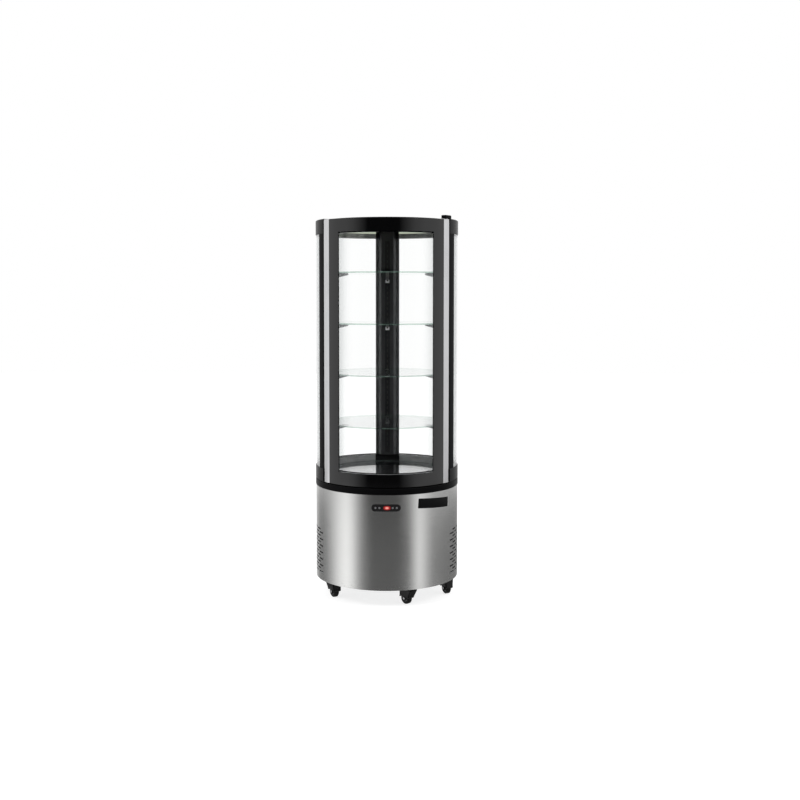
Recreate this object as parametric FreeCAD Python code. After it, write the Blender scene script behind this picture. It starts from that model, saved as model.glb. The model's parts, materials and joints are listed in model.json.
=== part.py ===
import FreeCAD, Part
import math
import os

# Round refrigerated display case on casters, with a hinged curved glass door.
# Millimetres and degrees. Z is up and the floor is at zero. Angles start at the front and grow to the right.

# Heights, from the floor up
CASTER_RISE = 38.5
SKIRT_DROP = 12.0
SKIRT_H = 436.0
BASE_RING_H = 29.0
COLLAR_H = 63.0
GLASS_H = 1091.0
TOP_RING_H = 67.0

# Radii and wall thicknesses
OUTER_R = 340.0
SKIRT_INSET = 2.0
RING_INSET = 2.0
SKIRT_T = 1.5
DOOR_DEPTH = 40.0
COLLAR_WALL = 10.0
POST_FLANGE_T = 15.0
SHELF_GAP = 7.0

# Angles of the sectors
FRONT_ANGLE = 60.0
POST_SPAN_ANGLE = 9.0
DOOR_GAP_ANGLE = 1.5
STILE_SPAN_ANGLE = 7.3
FLANGE_STEP_ANGLE = 1.0
COLUMN_ANGLE = 8.2
SIDE_SPAN_ANGLE = 60.0
FULL_ANGLE = 360.0
STRAIGHT_ANGLE = 180.0
RIGHT_ANGLE = 90.0

# Clearances
FIT = 0.3
RUN = 0.06
SEAM = 0.3
PRESS = 0.02
CUT = 4.0

# Base pan
PAN_T = 3.0
PAN_LIP = 25.0

# Slotted side panels
SLOT_W = 44.0
SLOT_H = 7.0
SLOT_BRIDGE = 15.0
SLOT_PITCH = 15.4
SLOT_ROWS = 14
SLOT_COLUMNS = 6
SLOT_LIFT = 35.0

# Black base ring and lower collar
EDGE_CHAMFER = 2.5
LEDGE_W = 12.0
LEDGE_T = 4.0
GROOVE_H = 5.0
GROOVE_D = 5.0
CHANNEL_D = 18.0
BOSS_R = 9.0

# Evaporator tub and deck
TUB_DEPTH_SHARE = 0.4614
TUB_WALL = 28.0
TUB_FLOOR_T = 30.0
FLOOR_DROP = 27.0
PAD_H = 12.0
PAD_R = 9.0
PAD_INSET = 25.0
PAD_COUNT = 6
DECK_T = 2.0
VENT_W = 26.0
VENT_D = 7.0
VENT_INSET = 13.0
VENT_COUNT = 25
VENT_SPAN_ANGLE = 132.0

# Glass
PANE_T = 5.0
PANE_GAP = 12.0
SIDE_PANE_INSET = 4.0
SPACER_W = 12.0
SPACER_GAP = 0.1
SHELF_T = 6.0
SHELF_ARRIS = 1.0

# Shelves
SHELF_COUNT = 4
SHELF_PITCH_SHARE = 0.21695
FIRST_SHELF_SHARE = 0.1879

# Rear column and slotted rail
COLUMN_REACH = 17.0
COLUMN_FACE_W = 61.0
COLUMN_SHOULDER = 11.0
COLUMN_WALL = 2.0
RAIL_W = 24.0
RAIL_T = 2.0
RAIL_MARGIN = 14.0
RAIL_SLOT_W = 5.0
RAIL_SLOT_H = 14.0
SLOTS_PER_SHELF = 9
POST_SLOT_D = 6.0

# Shelf brackets
BRACKET_L = 84.0
BRACKET_W = 16.0
BRACKET_WALL = 2.0
BRACKET_ROOT_H = 26.0
BRACKET_TIP_H = 9.0
BRACKET_NOSE = 5.0
TAB_W = 4.0
TAB_H = 12.0

# Top ring, cover, ceiling and light
COVER_RIM = 9.0
COVER_T = 4.0
COVER_DROP = 6.0
CEILING_RIM = 16.0
CEILING_T = 4.0
CEILING_LIP_W = 7.0
CEILING_LIP_H = 40.0
TOP_CHAMFER = 4.0
LIGHT_INSET = 70.0
LIGHT_W = 30.0
LIGHT_H = 8.0
LIGHT_CHAMFER = 3.0

# Door
DOOR_BOTTOM_GAP = 5.0
DOOR_TOP_GAP = 4.0
DOOR_PANE_INSET = 3.0
GASKET_T = 6.0
RAIL_H = 46.0
GASKET_STEP_ANGLE = 2.5
GASKET_FACE_ANGLE = 4.2
GASKET_H = 30.0
GASKET_INSET = 4.0

# Door hinge
PIVOT_INSET = 10.0
PIVOT_STEP_ANGLE = 2.0
PIN_R = 5.0
PIN_DEPTH = 40.0
PIN_TOP = 12.0
PIN_FOOT = 18.0
PIN_END_GAP = 1.0
HINGE_BACK_ANGLE = 3.0
HINGE_FORE_ANGLE = 6.0
HINGE_W = 27.0
HINGE_H = 15.5
HINGE_ROUND = 4.0

# Control panel
PANEL_W = 133.0
PANEL_H = 32.0
PANEL_T = 2.0
PANEL_RIM = 4.0
PANEL_BACK = 10.0
PANEL_DROP = 57.5
LENS_W = 34.0
LENS_H = 18.0
LENS_T = 1.6
LENS_STEP = 4.0
BUTTON_R = 4.5
BUTTON_GAP = 0.25
BUTTON_L = 6.0
BUTTON_PROUD = 0.3
BUTTON_TRAVEL_ROOM = 1.5
BUTTON_SHARES = (-0.361, -0.2256, 0.2256, 0.361)

# Casters
WHEEL_R = 27.5
WHEEL_W = 24.0
WHEEL_ROUND = 4.0
WHEEL_DISH_R = 17.0
WHEEL_DISH_D = 3.0
AXLE_R = 4.0
AXLE_HEAD_R = 7.0
AXLE_HEAD_T = 2.5
CASTER_TRAIL = 16.0
CASTER_INSET = 52.0
CASTER_ANGLES = (-63.0, 21.5, 77.0, 187.0)
HEADING_ANGLES = (31.0, -137.5, 27.0, 15.0)
CASTER_PLATE_W = 62.0
CASTER_PLATE_T = 3.0
CASTER_PLATE_ROUND = 4.8
KING_R = 6.0
KING_HEAD_R = 9.0
KING_HEAD_T = 3.0
FORK_CROWN_R = 36.0
FORK_CROWN_H = 22.0
FORK_CROWN_RIM = 9.0
FORK_CROWN_FOOT_R = 30.0
FORK_T = 2.5
FORK_SIDE_GAP = 1.0
FORK_EYE_R = 13.0
FORK_NECK_W = 56.0
FORK_GAP = 0.4

# Compressor
COMPRESSOR_R = 84.0
COMPRESSOR_H_SHARE = 0.757
COMPRESSOR_DOME_SHARE = 0.5
COMPRESSOR_WALL = 12.0
COMPRESSOR_SEAM_W = 4.0
COMPRESSOR_SEAM_H = 8.0
COMPRESSOR_X_SHARE = -0.3123
COMPRESSOR_Y_SHARE = 0.119
FOOT_R = 13.0
FOOT_H = 14.0
FOOT_SPREAD = 68.0
FOOT_PLATE_T = 4.0
TERMINAL_W = 54.0
TERMINAL_D = 24.0
TERMINAL_H = 62.0
TERMINAL_LIFT_SHARE = 0.45

# Coils with fins
COIL_PLATE_T = 3.0
COIL_TUBE_R = 5.0
COIL_HEADER_R = 6.0
COIL_BEND = 14.0
COIL_ROWS = 5
COIL_FIN_COUNT = 18
COIL_FIN_T = 2.0
COIL_GROOVE_D = 6.0
CONDENSER_L_SHARE = 1.163
CONDENSER_D = 58.0
CONDENSER_H_SHARE = 0.8566
CONDENSER_INSET = 114.2
EVAPORATOR_L_SHARE = 1.2
EVAPORATOR_D = 110.0
EVAPORATOR_H_SHARE = 0.65
EVAPORATOR_Y_SHARE = -0.28

# Axial fans
FAN_BLADES = 5
BLADE_SPAN_ANGLE = 46.0
BLADE_PITCH_ANGLE = 24.0
FAN_BLADE_T = 1.8
FAN_TIP_GAP = 6.0
FAN_DEPTH = 20.0
FAN_PLATE_T = 4.0
FAN_ARM_W = 9.0
FAN_ARM_T = 4.0
FAN_BACK_GAP = 7.0
SHAFT_R = 4.0
CONDENSER_FAN_SHARE = 0.44
CONDENSER_MOTOR_R = 31.0
CONDENSER_MOTOR_L = 40.0
EVAPORATOR_FAN_SHARE = 0.31
EVAPORATOR_MOTOR_R = 22.0
EVAPORATOR_MOTOR_L = 32.0
EVAPORATOR_FAN_Y_SHARE = 0.52
HUB_SHARE = 0.27

# Pipes and cable gland
PIPE_R = 4.0
PIPE_BEND = 16.0
PIPE_END_GAP = 0.2
PIPE_REACH = 42.0
PIPE_STEP = 16.0
GLAND_R = 9.0
GLAND_BORE_R = 4.6
GLAND_SEAL_IN = 3.0
GLAND_SEAL_T = 1.0
GLAND_FLANGE_R = 14.0
GLAND_FLANGE_T = 2.0
GLAND_L = 20.0
GLAND_LIFT = 60.0

# Heights and radii worked out from the sizes above
V = FreeCAD.Vector
ORIGIN = V(0, 0, 0)
UP = V(0, 0, 1)
CASTER_H = WHEEL_R * 2 + CASTER_RISE
SKIRT_Z = CASTER_H - SKIRT_DROP
SKIRT_TOP = SKIRT_Z + SKIRT_H
BASE_RING_TOP = SKIRT_TOP + BASE_RING_H
COLLAR_TOP = BASE_RING_TOP + COLLAR_H
RING_Z = COLLAR_TOP + GLASS_H
RING_TOP = RING_Z + TOP_RING_H
SKIRT_R = OUTER_R - SKIRT_INSET
RING_R = OUTER_R - RING_INSET
SKIRT_IN_R = SKIRT_R - SKIRT_T
PAN_R = SKIRT_IN_R - FIT
PAN_TOP = CASTER_H + PAN_T
CASTER_PLACE_R = PAN_R - CASTER_INSET
RECESS_R = OUTER_R - DOOR_DEPTH
TUB_R = RECESS_R - COLLAR_WALL
TUB_STEP_R = TUB_R - LEDGE_W
TUB_IN_R = TUB_STEP_R - TUB_WALL
POST_IN_R = RECESS_R - POST_FLANGE_T
SHELF_R = POST_IN_R - SHELF_GAP
COVER_R = RECESS_R - COVER_RIM
CEILING_R = RECESS_R - CEILING_RIM
LIGHT_R = CEILING_R - LIGHT_INSET
FLOOR_GLASS_TOP = COLLAR_TOP - FLOOR_DROP
FLOOR_GLASS_Z = FLOOR_GLASS_TOP - SHELF_T
DECK_TOP = FLOOR_GLASS_Z - PAD_H
TUB_TOP = DECK_TOP - DECK_T
TUB_Z = TUB_TOP - (TUB_TOP - PAN_TOP) * TUB_DEPTH_SHARE
TUB_FLOOR = TUB_Z + TUB_FLOOR_T
SHELF_PITCH = GLASS_H * SHELF_PITCH_SHARE
FIRST_SHELF_TOP = COLLAR_TOP + GLASS_H * FIRST_SHELF_SHARE
SIDE_PANE_R = OUTER_R - SIDE_PANE_INSET
SIDE_INNER_R = SIDE_PANE_R - PANE_T - PANE_GAP
SIDE_BACK_R = SIDE_INNER_R - PANE_T
PANE_Z = COLLAR_TOP - CHANNEL_D + FIT
PANE_TOP = RING_Z + CHANNEL_D - FIT
CEILING_Z = RING_Z + CEILING_LIP_H
DOOR_Z = BASE_RING_TOP + DOOR_BOTTOM_GAP
DOOR_TOP = RING_TOP - DOOR_TOP_GAP
DOOR_PANE_R = OUTER_R - DOOR_PANE_INSET
DOOR_INNER_R = DOOR_PANE_R - PANE_T - PANE_GAP
DOOR_BACK_R = DOOR_INNER_R - PANE_T
STILE_IN_R = RECESS_R + GASKET_T
PIVOT_R = OUTER_R - PIVOT_INSET
PANEL_Z = SKIRT_TOP - PANEL_DROP
PANEL_R = SKIRT_R + PANEL_T
RAIL_PITCH = SHELF_PITCH / SLOTS_PER_SHELF
COLUMN_FRONT = RECESS_R - COLUMN_REACH
COLUMN_SHOULDER_R = SIDE_BACK_R - COLUMN_SHOULDER
RAIL_FRONT = COLUMN_FRONT - RAIL_T
MACHINE_H = TUB_Z - PAN_TOP
COMPRESSOR_H = MACHINE_H * COMPRESSOR_H_SHARE
COMPRESSOR_DOME = COMPRESSOR_R * COMPRESSOR_DOME_SHARE
COMPRESSOR_X = PAN_R * COMPRESSOR_X_SHARE
COMPRESSOR_Y = PAN_R * COMPRESSOR_Y_SHARE
CONDENSER_H = MACHINE_H * CONDENSER_H_SHARE
CONDENSER_L = CONDENSER_H * CONDENSER_L_SHARE
CONDENSER_X = PAN_R - CONDENSER_INSET
CONDENSER_FAN_R = CONDENSER_H * CONDENSER_FAN_SHARE
EVAPORATOR_L = TUB_IN_R * EVAPORATOR_L_SHARE
EVAPORATOR_Y = TUB_IN_R * EVAPORATOR_Y_SHARE
EVAPORATOR_H = (TUB_TOP - TUB_FLOOR) * EVAPORATOR_H_SHARE
EVAPORATOR_FAN_R = (TUB_TOP - TUB_FLOOR) * EVAPORATOR_FAN_SHARE
EVAPORATOR_FAN_Y = TUB_IN_R * EVAPORATOR_FAN_Y_SHARE
FAN_STAND_OFF = FAN_DEPTH + FAN_BACK_GAP
POST_END_ANGLE = FRONT_ANGLE + POST_SPAN_ANGLE
POST_SLOT_ANGLE = (FRONT_ANGLE + POST_END_ANGLE) / 2
DOOR_ANGLE = FRONT_ANGLE - DOOR_GAP_ANGLE
STILE_ANGLE = DOOR_ANGLE - STILE_SPAN_ANGLE
FLANGE_ANGLE = STILE_ANGLE + FLANGE_STEP_ANGLE
GASKET_ANGLE = DOOR_ANGLE - GASKET_STEP_ANGLE
PIVOT_ANGLE = DOOR_ANGLE - PIVOT_STEP_ANGLE
HINGE_START_ANGLE = PIVOT_ANGLE - HINGE_BACK_ANGLE
HINGE_END_ANGLE = PIVOT_ANGLE + HINGE_FORE_ANGLE
SIDE_PANEL_ANGLE = FRONT_ANGLE + SIDE_SPAN_ANGLE
FIT_ANGLE = math.degrees(FIT / RECESS_R)
SEAM_ANGLE = math.degrees(SEAM / SKIRT_R)


# Shared shapes

def polar(radius, angle, z=0.0):
    turn = math.radians(angle)
    return V(radius * math.sin(turn), -radius * math.cos(turn), z)


def shelf_top(index):
    return FIRST_SHELF_TOP + index * SHELF_PITCH


def joined(shapes):
    whole = shapes[0]
    for shape in shapes[1:]:
        whole = whole.fuse(shape)
    return whole.removeSplitter()


def carved(body, tools):
    return body.cut(Part.makeCompound(tools))


def mirrored(shape):
    return shape.mirror(ORIGIN, V(1, 0, 0))


def rod(radius, start, end):
    return Part.makeCylinder(radius, (end - start).Length, start, end - start)


def disc(radius, bottom, top):
    return rod(radius, V(0, 0, bottom), V(0, 0, top))


def tube(inner, outer, bottom, top):
    return disc(outer, bottom, top).cut(disc(inner, bottom, top))


def block(low, high):
    size = high - low
    return Part.makeBox(size.x, size.y, size.z, low)


def filled(edges):
    return Part.Face(Part.Wire(edges))


def line(start, end):
    return Part.LineSegment(start, end).toShape()


def bow(start, middle, end):
    return Part.Arc(start, middle, end).toShape()


def sector(inner, outer, start, end, bottom, top):
    middle = (start + end) / 2
    near = [polar(inner, angle, bottom) for angle in (start, middle, end)]
    far = [polar(outer, angle, bottom) for angle in (start, middle, end)]
    edges = [bow(*far), line(far[2], near[2]), bow(near[2], near[1], near[0]), line(near[0], far[0])]
    return filled(edges).extrude(UP * (top - bottom))


def lathe(profile):
    corners = [V(radius, 0, z) for radius, z in profile]
    face = Part.Face(Part.makePolygon(corners + corners[:1]))
    return face.revolve(ORIGIN, UP, FULL_ANGLE)


def facing(shape, angle, z=0.0):
    turned = shape.copy()
    turned.rotate(ORIGIN, UP, angle - RIGHT_ANGLE)
    turned.translate(V(0, 0, z))
    return turned


def radial_block(width, height, inner, outer, angle, z):
    low = V(inner, -width / 2, -height / 2)
    return facing(block(low, V(outer, width / 2, height / 2)), angle, z)


def radial_rod(radius, inner, outer, angle, z):
    return rod(radius, polar(inner, angle, z), polar(outer, angle, z))


def frame(inner, outer, half, bottom, top, side, rail, centre=0.0):
    """A curved frame with open middle, side is its width along the arc as an angle."""
    whole = sector(inner, outer, centre - half, centre + half, bottom, top)
    hole_half = half - side
    hole = sector(inner - CUT, outer + CUT, centre - hole_half, centre + hole_half, bottom + rail, top - rail)
    return whole.cut(hole)


def rail_slot_heights():
    first = FIRST_SHELF_TOP - SHELF_T - BRACKET_ROOT_H / 2
    room = RAIL_SLOT_H / 2 + RAIL_MARGIN * 2
    below = int((first - COLLAR_TOP - room) / RAIL_PITCH)
    above = int((RING_Z - room - first) / RAIL_PITCH)
    return [first + step * RAIL_PITCH for step in range(-below, above + 1)]


# Base

def base_pan():
    lip_in = PAN_R - PAN_T
    lip_top = CASTER_H + PAN_LIP
    floor = [(0, CASTER_H), (PAN_R, CASTER_H), (PAN_R, lip_top)]
    return lathe(floor + [(lip_in, lip_top), (lip_in, PAN_TOP), (0, PAN_TOP)])


def skirt(start, end):
    return sector(SKIRT_IN_R, SKIRT_R, start + SEAM_ANGLE, end - SEAM_ANGLE, SKIRT_Z, SKIRT_TOP)


def stadium(width, height, inner, outer):
    """A rounded bar that follows the curve of the base front, between two radii."""
    half = (width - height) / 2
    bar = block(V(-half, -outer - CUT, PANEL_Z - height / 2), V(half, 0, PANEL_Z + height / 2))
    ends = [rod(height / 2, V(x, -outer - CUT, PANEL_Z), V(x, 0, PANEL_Z)) for x in (-half, half)]
    shell = tube(inner, outer, PANEL_Z - height, PANEL_Z + height)
    return joined([bar] + ends).common(shell)


def base_front_panel():
    opening = stadium(PANEL_W - PANEL_RIM * 2, PANEL_H - PANEL_RIM * 2, SKIRT_IN_R - CUT, SKIRT_R + CUT)
    return skirt(-FRONT_ANGLE, FRONT_ANGLE).cut(opening)


def base_right_grille():
    step = math.degrees((SLOT_W + SLOT_BRIDGE) / SKIRT_R)
    middle = (FRONT_ANGLE + SIDE_PANEL_ANGLE) / 2
    slots = []
    for row in range(SLOT_ROWS):
        count = SLOT_COLUMNS - row % 2
        z = SKIRT_Z + SLOT_LIFT + SLOT_H / 2 + row * SLOT_PITCH
        for column in range(count):
            angle = middle + (column - (count - 1) / 2) * step
            slots.append(radial_block(SLOT_W, SLOT_H, SKIRT_IN_R - CUT, SKIRT_R + CUT, angle, z))
    return carved(skirt(FRONT_ANGLE, SIDE_PANEL_ANGLE), slots)


def base_left_grille():
    return mirrored(base_right_grille())


def gland_height():
    return SKIRT_Z + GLAND_LIFT


def base_rear_panel():
    panel = skirt(SIDE_PANEL_ANGLE, FULL_ANGLE - SIDE_PANEL_ANGLE)
    hole = radial_rod(GLAND_R + FIT, SKIRT_IN_R - CUT, SKIRT_R + CUT, STRAIGHT_ANGLE, gland_height())
    return panel.cut(hole)


def cable_gland():
    z = gland_height()
    outer = SKIRT_R + GLAND_FLANGE_T
    body = radial_rod(GLAND_R, SKIRT_R - GLAND_L, outer, STRAIGHT_ANGLE, z)
    flange = radial_rod(GLAND_FLANGE_R, SKIRT_R, outer, STRAIGHT_ANGLE, z)
    nut = radial_rod(GLAND_FLANGE_R, SKIRT_R - GLAND_L, SKIRT_IN_R - GLAND_FLANGE_T, STRAIGHT_ANGLE, z)
    seal = outer - GLAND_SEAL_IN
    mouth = radial_rod(GLAND_BORE_R, seal, outer + CUT, STRAIGHT_ANGLE, z)
    bore = radial_rod(GLAND_BORE_R, SKIRT_R - GLAND_L - CUT, seal - GLAND_SEAL_T, STRAIGHT_ANGLE, z)
    return carved(joined([body, flange, nut]), [mouth, bore])


def pivot(z):
    return polar(PIVOT_R, PIVOT_ANGLE, z)


def base_ring():
    inner = TUB_R + FIT
    outer = [(OUTER_R - EDGE_CHAMFER, SKIRT_TOP), (OUTER_R, SKIRT_TOP + EDGE_CHAMFER)]
    upper = [(OUTER_R, BASE_RING_TOP - EDGE_CHAMFER), (OUTER_R - EDGE_CHAMFER, BASE_RING_TOP)]
    ledge = [(inner, BASE_RING_TOP), (inner, SKIRT_TOP + LEDGE_T), (TUB_STEP_R + FIT, SKIRT_TOP + LEDGE_T)]
    ring = lathe([(TUB_STEP_R + FIT, SKIRT_TOP)] + outer + upper + ledge)
    boss = rod(BOSS_R, pivot(BASE_RING_TOP - CUT), pivot(DOOR_Z - FIT))
    bore = rod(PIN_R + RUN, pivot(BASE_RING_TOP - PIN_FOOT - PIN_END_GAP), pivot(DOOR_Z + CUT))
    return joined([ring, boss]).cut(bore)


def door_recess(bottom, top):
    return sector(RECESS_R, OUTER_R + CUT, -FRONT_ANGLE, FRONT_ANGLE, bottom - CUT, top + CUT)


def glass_channels(bottom, top):
    inner = SIDE_BACK_R - FIT
    right = sector(inner, SIDE_PANE_R + FIT, POST_END_ANGLE, STRAIGHT_ANGLE - COLUMN_ANGLE, bottom, top)
    return [right, mirrored(right)]


def lower_collar():
    groove_r = OUTER_R - GROOVE_D
    groove_top = BASE_RING_TOP + GROOVE_H
    foot = [(TUB_R + FIT, BASE_RING_TOP), (groove_r, BASE_RING_TOP), (groove_r, groove_top)]
    wall = [(OUTER_R, groove_top), (OUTER_R, COLLAR_TOP - EDGE_CHAMFER), (OUTER_R - EDGE_CHAMFER, COLLAR_TOP)]
    ring = lathe(foot + wall + [(TUB_R + FIT, COLLAR_TOP)])
    front = sector(TUB_R - CUT, OUTER_R + CUT, -FRONT_ANGLE, FRONT_ANGLE,
                   BASE_RING_TOP - CUT, COLLAR_TOP + CUT)
    return carved(ring.cut(front), glass_channels(COLLAR_TOP - CHANNEL_D, COLLAR_TOP + CUT))


def collar_sill():
    return sector(TUB_R + FIT, RECESS_R, -FRONT_ANGLE, FRONT_ANGLE, BASE_RING_TOP, COLLAR_TOP)


# Evaporator tub, deck and floor glass

def evaporator_tub():
    step_z = SKIRT_TOP + LEDGE_T
    outside = [(0, TUB_Z), (TUB_STEP_R, TUB_Z), (TUB_STEP_R, step_z), (TUB_R, step_z), (TUB_R, TUB_TOP)]
    return lathe(outside + [(TUB_IN_R, TUB_TOP), (TUB_IN_R, TUB_FLOOR), (0, TUB_FLOOR)])


def deck_plate():
    plate = disc(TUB_R, TUB_TOP, DECK_TOP)
    step = VENT_SPAN_ANGLE * 2 / (VENT_COUNT - 1)
    inner = TUB_IN_R - VENT_INSET
    middle = TUB_TOP + DECK_T / 2
    vents = []
    for index in range(VENT_COUNT):
        angle = index * step - VENT_SPAN_ANGLE
        vents.append(radial_block(VENT_W, DECK_T + CUT * 2, inner, inner + VENT_D, angle, middle))
    pads = []
    for index in range(PAD_COUNT):
        place = polar(TUB_IN_R - PAD_INSET, index * FULL_ANGLE / PAD_COUNT, TUB_TOP)
        pads.append(rod(PAD_R, place, place + UP * (DECK_T + PAD_H)))
    return joined([carved(plate, vents)] + pads)


def glass_disc(bottom):
    rim = SHELF_R - SHELF_ARRIS
    top = bottom + SHELF_T
    lower = [(0, bottom), (rim, bottom), (SHELF_R, bottom + SHELF_ARRIS)]
    return lathe(lower + [(SHELF_R, top - SHELF_ARRIS), (rim, top), (0, top)])


def floor_glass():
    return glass_disc(FLOOR_GLASS_Z)


# Fixed glazing, posts and rear column

def side_panes(radius):
    start = POST_END_ANGLE + FIT_ANGLE
    end = STRAIGHT_ANGLE - COLUMN_ANGLE - FIT_ANGLE
    right = sector(radius - PANE_T, radius, start, end, PANE_Z, PANE_TOP)
    return Part.makeCompound([right, mirrored(right)])


def side_outer_panes():
    return side_panes(SIDE_PANE_R)


def side_inner_panes():
    return side_panes(SIDE_INNER_R)


def glass_spacers():
    start = POST_END_ANGLE + FIT_ANGLE
    end = STRAIGHT_ANGLE - COLUMN_ANGLE - FIT_ANGLE
    side = math.degrees(SPACER_W / SIDE_INNER_R)
    inner = SIDE_INNER_R + SPACER_GAP
    outer = inner + PANE_GAP - SPACER_GAP * 2
    right = frame(inner, outer, (end - start) / 2, PANE_Z, PANE_TOP, side, SPACER_W, (start + end) / 2)
    return Part.makeCompound([right, mirrored(right)])


def front_post_right():
    body = sector(POST_IN_R, SIDE_PANE_R, FRONT_ANGLE, POST_END_ANGLE, COLLAR_TOP, RING_Z)
    flange = sector(POST_IN_R, RECESS_R, FLANGE_ANGLE, POST_END_ANGLE, COLLAR_TOP, RING_Z)
    slots = []
    for z in rail_slot_heights():
        slots.append(radial_block(RAIL_SLOT_W, RAIL_SLOT_H, POST_IN_R - CUT, POST_IN_R + POST_SLOT_D,
                                  POST_SLOT_ANGLE, z))
    return carved(joined([body, flange]), slots)


def front_post_left():
    return mirrored(front_post_right())


def column_outline():
    half_face = COLUMN_FACE_W / 2
    start = STRAIGHT_ANGLE - COLUMN_ANGLE
    end = STRAIGHT_ANGLE + COLUMN_ANGLE
    back = [polar(SIDE_PANE_R, angle) for angle in (start, STRAIGHT_ANGLE, end)]
    shoulders = [polar(COLUMN_SHOULDER_R, angle) for angle in (start, end)]
    face = [V(half_face, COLUMN_FRONT, 0), V(-half_face, COLUMN_FRONT, 0)]
    path = [back[2], shoulders[1], face[1], face[0], shoulders[0], back[0]]
    edges = [bow(*back)] + [line(path[k], path[k + 1]) for k in range(len(path) - 1)]
    return Part.Wire(edges)


def rear_column():
    outline = column_outline()
    section = Part.Face(outline).cut(Part.Face(outline.makeOffset2D(-COLUMN_WALL)))
    duct = section.extrude(UP * (CEILING_Z - FIT - COLLAR_TOP))
    duct.translate(V(0, 0, COLLAR_TOP))
    return duct


def shelf_rail():
    low = V(-RAIL_W / 2, RAIL_FRONT, COLLAR_TOP + RAIL_MARGIN)
    strip = block(low, V(RAIL_W / 2, COLUMN_FRONT, RING_Z - RAIL_MARGIN))
    slots = []
    for z in rail_slot_heights():
        slots.append(radial_block(RAIL_SLOT_W, RAIL_SLOT_H, RAIL_FRONT - CUT, COLUMN_FRONT + CUT,
                                  STRAIGHT_ANGLE, z))
    return carved(strip, slots)


# Shelves and brackets

def shelf(index):
    return glass_disc(shelf_top(index) - SHELF_T)


def bracket(root):
    """One arm along X that ends at the root radius, its top at zero height."""
    tip = root - BRACKET_L
    half = BRACKET_W / 2
    corners = [(root, 0), (tip + BRACKET_NOSE, 0), (tip, -BRACKET_NOSE), (tip + BRACKET_NOSE, -BRACKET_TIP_H)]
    corners.append((root, -BRACKET_ROOT_H))
    outline = [V(x, -half, z) for x, z in corners]
    arm = Part.Face(Part.makePolygon(outline + outline[:1])).extrude(V(0, BRACKET_W, 0))
    hollow = block(V(tip + BRACKET_TIP_H, BRACKET_WALL - half, -BRACKET_ROOT_H - CUT),
                   V(root - BRACKET_WALL, half - BRACKET_WALL, -BRACKET_WALL))
    middle = -BRACKET_ROOT_H / 2
    tab = block(V(root - BRACKET_WALL, -TAB_W / 2, middle - TAB_H / 2),
                V(root + RAIL_T, TAB_W / 2, middle + TAB_H / 2))
    return joined([arm.cut(hollow), tab])


def shelf_brackets():
    roots = {POST_SLOT_ANGLE: POST_IN_R, -POST_SLOT_ANGLE: POST_IN_R, STRAIGHT_ANGLE: RAIL_FRONT}
    arms = []
    for index in range(SHELF_COUNT):
        z = shelf_top(index) - SHELF_T
        arms += [facing(bracket(root - FIT), angle, z) for angle, root in roots.items()]
    return Part.makeCompound(arms)


# Top

def column_notch():
    """Room in the top ring's lip for the head of the rear column."""
    bottom = RING_Z - CUT
    around = Part.Face(column_outline().makeOffset2D(FIT)).extrude(UP * (CEILING_Z - bottom))
    around.translate(V(0, 0, bottom))
    wide = polar(SIDE_PANE_R, STRAIGHT_ANGLE - COLUMN_ANGLE).x + FIT
    mouth = block(V(-wide, CEILING_R - CEILING_LIP_W - CUT, bottom), V(wide, COLUMN_SHOULDER_R, CEILING_Z))
    return around.fuse(mouth)


def top_ring():
    ledge_z = RING_TOP - COVER_DROP
    lip_r = CEILING_R - CEILING_LIP_W
    edge = [(RING_R, RING_TOP - TOP_CHAMFER), (RING_R - TOP_CHAMFER, RING_TOP)]
    outside = [(lip_r, RING_Z), (RING_R, RING_Z)] + edge
    inside = [(COVER_R + FIT, RING_TOP), (COVER_R + FIT, ledge_z), (CEILING_R + FIT, ledge_z)]
    ring = lathe(outside + inside + [(CEILING_R + FIT, CEILING_Z), (lip_r, CEILING_Z)])
    channels = glass_channels(RING_Z - CUT, RING_Z + CHANNEL_D)
    return carved(ring.cut(door_recess(RING_Z, RING_TOP)), channels + [column_notch()])


def top_cover():
    bottom = RING_TOP - COVER_DROP
    return disc(COVER_R, bottom, bottom + COVER_T)


def ceiling_panel():
    return disc(CEILING_R, CEILING_Z, CEILING_Z + CEILING_T)


def ceiling_light():
    inner = LIGHT_R - LIGHT_W
    bottom = CEILING_Z - LIGHT_H
    soft = bottom + LIGHT_CHAMFER
    lower = [(inner, CEILING_Z), (inner, soft), (inner + LIGHT_CHAMFER, bottom)]
    return lathe(lower + [(LIGHT_R - LIGHT_CHAMFER, bottom), (LIGHT_R, soft), (LIGHT_R, CEILING_Z)])


def top_hinge_bracket():
    top = RING_TOP + HINGE_H
    cap = sector(RING_R - HINGE_W, RING_R, HINGE_START_ANGLE, HINGE_END_ANGLE, RING_TOP, top)
    rim = [edge for edge in cap.Edges if edge.CenterOfMass.z > RING_TOP + FIT]
    cap = cap.makeFillet(HINGE_ROUND, rim)
    bore = rod(PIN_R + RUN, pivot(RING_TOP - CUT), pivot(RING_TOP + PIN_TOP + PIN_END_GAP))
    return cap.cut(bore)


# Door

def pane_edge():
    return STILE_ANGLE - FIT_ANGLE


def door_outer_pane():
    return sector(DOOR_PANE_R - PANE_T, DOOR_PANE_R, -pane_edge(), pane_edge(), DOOR_Z, DOOR_TOP)


def inner_pane_span():
    return DOOR_Z + RAIL_H + FIT, DOOR_TOP - RAIL_H - FIT


def door_inner_pane():
    bottom, top = inner_pane_span()
    return sector(DOOR_BACK_R, DOOR_INNER_R, -pane_edge(), pane_edge(), bottom, top)


def door_spacer():
    bottom, top = inner_pane_span()
    inner = DOOR_INNER_R + SPACER_GAP
    side = math.degrees(SPACER_W / DOOR_INNER_R)
    return frame(inner, inner + PANE_GAP - SPACER_GAP * 2, pane_edge(), bottom, top, side, SPACER_W)


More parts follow.
